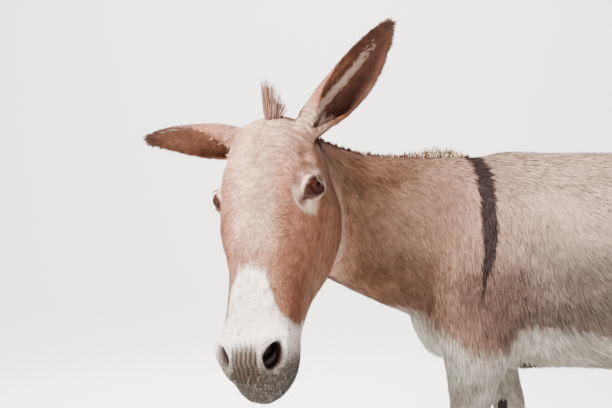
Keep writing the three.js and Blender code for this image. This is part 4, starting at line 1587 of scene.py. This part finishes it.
def grow(name, base, tuft, material, seed, lift=0.10, stray=0.11):
    values = {"Tuft": tuft, "Material": material, "Share": 1.0, "Long": 1.0, "Wide": 1.0, "Lift": lift,
              "Stray": stray, "Seed": seed}
    modifier = base.modifiers.new("coat", "NODES")
    modifier.node_group = growCoat
    for item in growCoat.interface.items_tree:
        if item.item_type == "SOCKET" and item.in_out == "INPUT" and item.name in values:
            modifier[item.identifier] = values[item.name]
    mesh = bake(base)
    bpy.data.objects.remove(base)
    dropHelpers(mesh)
    mesh.name = name
    piece = meshObject(name, mesh)
    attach(piece, "root")
    print(f"  {name}: {countTriangles(mesh)} triangles")
    return piece


shortTuft = tuftObject("shortTuft", [(-0.06, -0.03, 0.0), (0.38, 0.065, 0.5), (1.0, 0.025, 0.0)])
coatHair = coatMaterial()


def bodyRange(names, low, high, left=None):
    wanted = [regions.index(n) for n in names]

    def keep(middles):
        place = toBody(middles)
        here = np.isin(regionOf(middles), wanted) & (place[:, 0] >= low) & (place[:, 0] < high)
        if left is not None:
            here &= (place[:, 1] < 0) == left
        return here

    return keep


def headHalf(sign):
    return lambda middles: (regionOf(middles) == regions.index("head")) & (toHead(middles)[:, 2] * sign >= 0)


coatPieces = {
    "coatHeadLeft": headHalf(1),
    "coatHeadRight": headHalf(-1),
    "coatEars": bodyRange(["earLeft", "earRight"], -9, 9),
    "coatNeck": bodyRange(["neck"], -9, 9),
    "coatShoulders": bodyRange(["trunk"], -9, 0.24),
    "coatSideLeft": bodyRange(["trunk"], 0.24, 0.70, True),
    "coatSideRight": bodyRange(["trunk"], 0.24, 0.70, False),
    "coatRump": bodyRange(["trunk", "tail"], 0.70, 9),
    "coatLegs": bodyRange(legRegions, -9, 9),
}
firstSeed = 7
for order, (name, keep) in enumerate(coatPieces.items()):
    grow(name, skinPart(name + "Base", keep), shortTuft, coatHair, firstSeed + order)
report("coat")


# Mane, forelock and switch of the tail.
hairLook = {
    "mane": {"share": 260000, "width": 0.0026, "lean": (0.25, 0.0, 1.0)},
    "forelock": {"share": 620000, "width": 0.0013, "reach": 0.036},
    "switch": {"share": 60000, "width": 0.0050, "from": 0.86, "to": 0.452},
}


def hairBase(name, keep, lieOf, lengthOf, look):
    base = skinPart(name + "Base", keep)
    points = readPlaces(base.data)
    storeField(base.data, "hairLie", lieOf(points))
    storeField(base.data, "hairLength", lengthOf(points))
    storeField(base.data, "hairWidth", np.full(len(points), look["width"]))
    storeField(base.data, "growth", np.full(len(points), look["share"]))
    return base


def maneBase():
    tree = meshTree(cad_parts["mane"].data)
    low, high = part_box("mane")

    def topOver(point):
        start = Vector((point[0], point[1], high.z + 0.01))
        hit = tree.ray_cast(start, Vector((0, 0, -1)))[0]
        return hit.z if hit else None

    def keep(middles):
        near = ((middles[:, :2] > np.array(low)[:2]) & (middles[:, :2] < np.array(high)[:2])).all(1)
        near &= middles[:, 2] > low.z - 0.02
        kept = np.zeros(len(middles), bool)
        for index in np.nonzero(near)[0]:
            top = topOver(middles[index])
            kept[index] = top is not None and -0.012 < top - middles[index][2] < 0.08
        return kept

    def lengths(points):
        tops = [topOver(point) for point in points]
        return np.array([0.010 if top is None else max(top - p[2], 0.008) for top, p in zip(tops, points)])

    def lie(points):
        return np.tile(unit(np.array(hairLook["mane"]["lean"])), (len(points), 1))

    return hairBase("mane", keep, lie, lengths, hairLook["mane"])


def forelockBase():
    # A tuft that rises to the tip of its solid, with shorter hair trailing off towards the left ear.
    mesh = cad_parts["forelock"].data
    places = np.array([v.co for v in mesh.vertices])
    tip = places[places[:, 2].argmax()]
    foot = places[places[:, 2] < places[:, 2].min() + 0.012].mean(0)
    aside = np.array(leftFace)

    def trail(points):
        return (points - foot) @ aside / hairLook["forelock"]["reach"]

    def keep(middles):
        share = clip01(trail(middles))
        away = middles - foot - np.outer(share * hairLook["forelock"]["reach"], aside)
        return np.linalg.norm(away, axis=1) < 0.009 - 0.004 * share

    def lie(points):
        share = clip01(trail(points))[:, None]
        return unit(unit(tip - points) * (1 - share) + (0.9 * aside + np.array([0.1, 0.0, 0.5])) * share)

    def lengths(points):
        return np.linalg.norm(tip - points, axis=1) * (1.08 - 0.68 * ease(trail(points), 0.05, 0.6))

    return hairBase("forelock", keep, lie, lengths, hairLook["forelock"])


def switchBase():
    look = hairLook["switch"]

    def keep(middles):
        place = toBody(middles)
        return (regionOf(middles) == regions.index("tail")) & (place[:, 2] < look["from"])

    def lie(points):
        place = toBody(points)
        inward = np.stack([1.056 - place[:, 0], -place[:, 1], 0 * place[:, 0]], axis=1)
        return unit(inward * 0.5 + np.array([0.0, 0.0, -1.0]))

    def lengths(points):
        return (toBody(points)[:, 2] - look["to"]) * 0.82

    return hairBase("switch", keep, lie, lengths, look)


longRows = [(-0.02, 0.0, 0.0), (0.20, 0.045, 0.5), (0.48, 0.06, 0.5), (0.76, 0.03, 0.34), (1.0, -0.01, 0.0)]
longTuft = tuftObject("longTuft", longRows)


def hairMaterial(name, dark, light, pale=None):
    material, w, shader = newMaterial(name)
    shade = attribute(w, "tuftShade").outputs["Fac"]
    along = attribute(w, "alongTuft").outputs["Fac"]
    place = attribute(w, "rootPlace").outputs["Vector"]
    tone = w.plus(w.times(shade, 0.6), w.times(w.noise(place, 25.0), 0.2))
    light = (*light, 1)
    if pale:
        x, _, _ = w.split(w.moved(place, [-v for v in bodyShift]))
        light = w.mix(w.ramp(x, -0.16, -0.04), light, (*pale, 1))
    w.put(w.mix(w.plus(tone, w.times(along, 0.25)), (*dark, 1), light),
          shader.inputs["Base Color"])
    setSurface(shader, 0.6, 0.3)
    return material


# Each hair's dark and light colour, and the mane's pale one ahead of the shoulders.
hairColors = {
    "maneHair": ((0.090, 0.048, 0.034), (0.300, 0.180, 0.125), (0.640, 0.500, 0.340)),
    "forelockHair": ((0.055, 0.020, 0.012), (0.165, 0.074, 0.045)),
    "switchHair": ((0.030, 0.020, 0.017), (0.150, 0.095, 0.070)),
    "darkHair": ((0.035, 0.018, 0.014), (0.130, 0.060, 0.040)),
    "paleHair": ((0.260, 0.170, 0.130), (0.560, 0.430, 0.350)),
    "fetlockHair": ((0.200, 0.185, 0.168), (0.470, 0.440, 0.400)),
    "whiskerHair": ((0.120, 0.105, 0.095), (0.560, 0.520, 0.480)),
}
hairs = {name: hairMaterial(name, *colors) for name, colors in hairColors.items()}


def growLong(name, base, hair, seed, lift, stray):
    return grow(name, base, longTuft, hairs[hair], seed, lift, stray)


mane = growLong("maneHair", maneBase(), "maneHair", 41, 0.25, 0.22)
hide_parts("mane")
forelock = growLong("forelockHair", forelockBase(), "forelockHair", 43, 0.02, 0.13)
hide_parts("forelock")
switch = growLong("switchHair", switchBase(), "switchHair", 47, 0.06, 0.05)
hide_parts("tail_switch")
report("long hair")


# Sparse hair that stands out from the coat. Each has its width and its locks per square metre.
fringes = {
    "lashes": {"width": 0.0006, "share": 420000, "long": 0.010},
    "whiskers": {"width": 0.0005, "share": 2600, "long": 0.030},
    "earFringe": {"width": 0.0011, "share": 240000, "long": 0.009},
    "earHair": {"width": 0.0009, "share": 70000, "long": 0.012},
    "fetlockHair": {"width": 0.0013, "share": 240000, "long": 0.019},
}


def evenLength(name):
    return lambda points: np.full(len(points), fringes[name]["long"])


def lashBase():
    def keep(middles):
        kept = np.zeros(len(middles), bool)
        for side in eyes:
            spread = eyeSpread(middles, side)
            kept |= (spread > 1.0) & (spread < 1.12) & (eyePlaces(middles, side)[:, 1] > 0.007)
        return kept

    def lie(points):
        ways = np.zeros((len(points), 3))
        for side in eyes:
            near = np.linalg.norm(points - np.array(eyes[side]), axis=1) < 0.06
            inner, upper, out = (eyePlaces(points[:1] + np.eye(3), side) - eyePlaces(points[:1], side)).T
            ways[near] = out * 0.9 - upper * 0.30 - inner * 0.25
        return unit(ways)

    return hairBase("lashes", keep, lie, evenLength("lashes"), fringes["lashes"])


def whiskerBase():
    middle = np.array(headPoint(0.440, -0.070, 0.0))

    def keep(middles):
        down, out, _ = toHead(middles).T
        return (muzzleShare(middles) > 0.5) & (down > 0.435) & ((out < -0.030) | (down > 0.485))

    def lie(points):
        return unit(unit(points - middle) + 0.5 * np.array(downFace))

    def lengths(points):
        return fringes["whiskers"]["long"] * (0.6 + 0.4 * ease(-toHead(points)[:, 1], 0.06, 0.11))

    return hairBase("whiskers", keep, lie, lengths, fringes["whiskers"])


def earPlace(points):
    # For each point, its place on the nearer ear, that ear's axes and its share of the way to the tip.
    left, right = toEar(points, "left"), toEar(points, "right")
    nearer = (np.linalg.norm(left[:, 1:], axis=1) < np.linalg.norm(right[:, 1:], axis=1))[:, None]
    place = np.where(nearer, left, right)
    axes = np.where(nearer[:, :, None], np.array(earAxes("left"))[None], np.array(earAxes("right"))[None])
    return place, axes, place[:, 0] / earLength


def earWays(points, up, out, aside):
    place, axes, _ = earPlace(points)
    parts = np.stack([up + 0 * place[:, 0], out + 0 * place[:, 0], aside * np.sign(place[:, 2])], axis=1)
    return unit(np.einsum("ij,ijk->ik", parts, axes))


def earFringeBase():
    def keep(middles):
        place, _, share = earPlace(middles)
        return (earShare(middles) > 0.5) & (share > 0.40) & (place[:, 1] > -0.004 - 0.006 * (share > 0.9))

    def lengths(points):
        share = earPlace(points)[2]
        return fringes["earFringe"]["long"] * (0.75 + 0.75 * ease(share, 0.80, 1.0))

    return hairBase("earFringe", keep, lambda p: earWays(p, 0.85, 0.25, 0.50), lengths, fringes["earFringe"])


def earHairBase():
    tree = meshTree(skinMesh)

    def keep(middles):
        kept = np.zeros(len(middles), bool)
        for side, look in earLook.items():
            ear = toEar(middles, side)
            share = ear[:, 0] / earLength
            near = (share > -0.02) & (share < 0.80) & (np.linalg.norm(ear[:, 1:], axis=1) < 0.08)
            index = np.nonzero(near)[0]
            ways = np.array([tree.find_nearest(Vector(m))[1] for m in middles[index]])
            aside = ear[index, 2] / np.interp(share[index], *earHalf)
            streak = np.abs(aside - look["streak"]) < look["streakHalf"]
            base = (share[index] < 0.12) & (np.abs(aside) < 0.8)
            kept[index] = earInside(middles[index], ways, side) & (streak | base)
        return kept

    def lengths(points):
        return fringes["earHair"]["long"] * (1.5 - 0.8 * ease(earPlace(points)[2], 0.05, 0.4))

    return hairBase("earHair", keep, lambda p: earWays(p, 0.90, 0.22, -0.25), lengths, fringes["earHair"])


def fetlockBase():
    def keep(middles):
        place = toBody(middles)
        legs = np.isin(regionOf(middles), [regions.index(n) for n in legRegions])
        behind = behindLeg(middles) > 0.008
        return legs & (((place[:, 2] > 0.085) & (place[:, 2] < 0.150) & behind) | (place[:, 2] < 0.068))

    def behindLeg(points):
        behind = np.zeros(len(points))
        for name in ("foreleg_left", "foreleg_right", "hindleg_left", "hindleg_right"):
            middle = boxMiddle(name + "_hoof")
            near = np.hypot(points[:, 0] - middle.x, points[:, 1] - middle.y) < 0.12
            behind = np.where(near, points[:, 0] - middle.x - 0.002, behind)
        return behind

    def lie(points):
        return unit(np.tile(np.array([0.30, 0.0, -1.0]), (len(points), 1)))

    def lengths(points):
        return fringes["fetlockHair"]["long"] * np.where(toBody(points)[:, 2] < 0.075, 0.6, 1.0)

    return hairBase("fetlock", keep, lie, lengths, fringes["fetlockHair"])


growLong("lashes", lashBase(), "darkHair", 51, 0.10, 0.22)
growLong("whiskers", whiskerBase(), "whiskerHair", 53, 0.25, 0.30)
growLong("earFringe", earFringeBase(), "darkHair", 57, 0.10, 0.20)
growLong("earHair", earHairBase(), "paleHair", 59, 0.12, 0.16)
growLong("fetlockHair", fetlockBase(), "fetlockHair", 61, 0.05, 0.10)
report("fringes")


# Eyes.
eyeLook = {
    "radius": 0.0222,
    "cornea": 0.0016,
    "corneaEdge": 0.62,  # radians from the eye's axis
    "pupil": (0.34, 0.17),  # half sizes of the pupil, along the lids' opening and across it
    "rings": 40,
    "turns": 64,
    "irisDark": (0.040, 0.013, 0.009, 1),
    "irisLight": (0.064, 0.021, 0.014, 1),
    "irisEdge": (0.024, 0.009, 0.006, 1),
    "pupilColor": (0.012, 0.005, 0.004, 1),
    "outside": (0.050, 0.019, 0.015, 1),  # what shows of the eye outside the iris
}


def closedPiece(name, points, faces, material, node, fields=None):
    # A closed mesh, turned outwards, that rides on the donkey in the place of one of its solids.
    mesh = bpy.data.meshes.new(name)
    mesh.from_pydata(points, [], faces)
    for field, values in (fields or {}).items():
        storeField(mesh, field, values)
    mesh.shade_smooth()
    turned = bmesh.new()
    turned.from_mesh(mesh)
    bmesh.ops.recalc_face_normals(turned, faces=turned.faces)
    turned.to_mesh(mesh)
    turned.free()
    mesh.materials.append(material)
    piece = meshObject(name, mesh)
    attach(piece, "root")
    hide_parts(node)


def makeEye(side):
    rings, turns = eyeLook["rings"], eyeLook["turns"]
    points = []
    local = []
    for ring in range(1, rings):
        polar = math.pi * ring / rings
        bulge = eyeLook["cornea"] * max(0.0, 1 - (polar / eyeLook["corneaEdge"]) ** 2) ** 1.5
        for k in range(turns):
            angle = 2 * math.pi * k / turns
            way = (math.sin(polar) * math.cos(angle), math.sin(polar) * math.sin(angle), math.cos(polar))
            local.append(way)
            points.append([c * (eyeLook["radius"] + bulge) for c in way])
    local += [(0, 0, 1), (0, 0, -1)]
    points += [[0, 0, eyeLook["radius"] + eyeLook["cornea"]], [0, 0, -eyeLook["radius"]]]
    faces = ringFaces(rings - 1, turns)
    front, back = len(points) - 2, len(points) - 1
    last = (rings - 2) * turns
    for k in range(turns):
        faces.append((front, k, (k + 1) % turns))
        faces.append((back, last + (k + 1) % turns, last + k))
    axes = eyePlaces(np.array(eyes[side]) + np.eye(3), side).T  # columns are the row's axes
    points = np.array(points) @ axes + np.array(eyes[side])
    closedPiece("eye" + side.capitalize(), points.tolist(), faces, eyeMaterial, "eye_" + side,
                {"eyePlace": np.array(local, float)})


def makeEyeMaterial():
    material, w, shader = newMaterial("eyeball")
    place = attribute(w, "eyePlace").outputs["Vector"]
    along, across, _ = w.split(place)
    wide, high = eyeLook["pupil"]
    oval = w.math("SQRT", w.plus(w.math("POWER", w.math("DIVIDE", along, wide), 2.0),
                                 w.math("POWER", w.math("DIVIDE", across, high), 2.0)))
    fromAxis = w.math("SQRT", w.plus(w.math("POWER", along, 2.0), w.math("POWER", across, 2.0)))
    streaks = w.noise(w.moved(place, (0, 0, 0), (1, 1, 0.2)), 26.0, 3.0, 0.7)
    iris = w.mix(w.ramp(streaks, 0.35, 0.65), eyeLook["irisDark"], eyeLook["irisLight"])
    iris = w.mix(w.ramp(fromAxis, 0.46, 0.64), iris, eyeLook["irisEdge"])
    eye = w.mix(w.ramp(oval, 1.30, 0.75), iris, eyeLook["pupilColor"])
    eye = w.mix(w.ramp(fromAxis, 0.66, 0.78), eye, eyeLook["outside"])
    w.put(eye, shader.inputs["Base Color"])
    setSurface(shader, 0.12, 0.12)
    return material


eyeMaterial = makeEyeMaterial()
for side in eyes:
    makeEye(side)


# Hooves.
hoofLook = {
    "around": 56,
    "rows": 26,
    "height": 0.060,
    "buried": 0.006,  # how far its top reaches up into the leg
    # height, reach to the front, reach to the back and half width
    "shape": ((0.0, 0.063, 0.046, 0.042), (0.030, 0.052, 0.043, 0.039), (0.055, 0.039, 0.037, 0.0355),
              (0.066, 0.033, 0.033, 0.031)),
    "ringApart": 0.0068,
    "ringHeight": 0.00045,
    "worn": 0.0020,  # how far its foot is rounded off
    "square": 0.86,  # 1 for an oval outline, less for a squarer one
    "dark": (0.036, 0.029, 0.025, 1),
    "light": (0.098, 0.078, 0.064, 1),
    "band": (0.135, 0.112, 0.094, 1),
    "foot": (0.160, 0.135, 0.112, 1),
}


def makeHoofMaterial():
    material, w, shader = newMaterial("hoofHorn")
    place = w.add("ShaderNodeTexCoord").outputs["Object"]
    _, _, z = w.split(place)
    streak = w.noise(w.moved(place, (0, 0, 0), (260, 260, 14)), 1.0, 3.0, 0.6)
    band = w.noise(w.moved(place, (0, 0, 0), (6, 6, 190)), 1.0, 2.0, 0.5)
    horn = w.mix(w.ramp(streak, 0.30, 0.72), hoofLook["dark"], hoofLook["light"])
    horn = w.mix(w.ramp(band, 0.45, 0.70), horn, hoofLook["band"])
    horn = w.mix(w.ramp(z, 0.014, 0.0), horn, hoofLook["foot"])
    w.put(horn, shader.inputs["Base Color"])
    w.put(w.plus(w.times(streak, 0.25), 0.38), shader.inputs["Roughness"])
    w.put(w.bump(w.plus(streak, w.times(band, 0.8)), 0.0012, 0.6), shader.inputs["Normal"])
    return material


hoofMaterial = makeHoofMaterial()


def makeHoof(node):
    low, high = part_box(node)
    heights = [row[0] for row in hoofLook["shape"]]
    toe = hoofLook["shape"][0][1]
    middle = Vector((low.x + toe, (low.y + high.y) / 2, 0.0))
    square = hoofLook["square"]
    top = hoofLook["height"] + hoofLook["buried"]
    around, rows = hoofLook["around"], hoofLook["rows"]
    points = []
    for row in range(rows):
        z = top * row / (rows - 1)
        front, back, half = (np.interp(z, heights, [r[c] for r in hoofLook["shape"]]) for c in (1, 2, 3))
        wave = math.cos(2 * math.pi * z / hoofLook["ringApart"])
        ring = hoofLook["ringHeight"] * wave * (0.004 < z < 0.052)
        ring -= hoofLook["worn"] * max(0.0, 1 - z / 0.003)
        for k in range(around):
            angle = 2 * math.pi * k / around
            ahead, aside = math.cos(angle), math.sin(angle)
            reach = (front if ahead > 0 else back) + ring
            x = -reach * math.copysign(abs(ahead) ** square, ahead)
            y = (half + ring) * math.copysign(abs(aside) ** square, aside)
            points.append((middle.x + x, middle.y + y, z))
    faces = [(a, d, c, b) for a, b, c, d in ringFaces(rows, around)]
    for first, flip in ((0, True), ((rows - 1) * around, False)):
        points.append((middle.x, middle.y, points[first][2]))
        for k in range(around):
            a, b = first + k, first + (k + 1) % around
            faces.append((len(points) - 1, b, a) if flip else (len(points) - 1, a, b))
    name = node.replace("foreleg_", "fore_").replace("hindleg_", "hind_")
    closedPiece(name, points, faces, hoofMaterial, node)


for node in hoofNodes:
    makeHoof(node)
report("eyes and hooves")

dropHelpers(skinMesh)
report("finished")
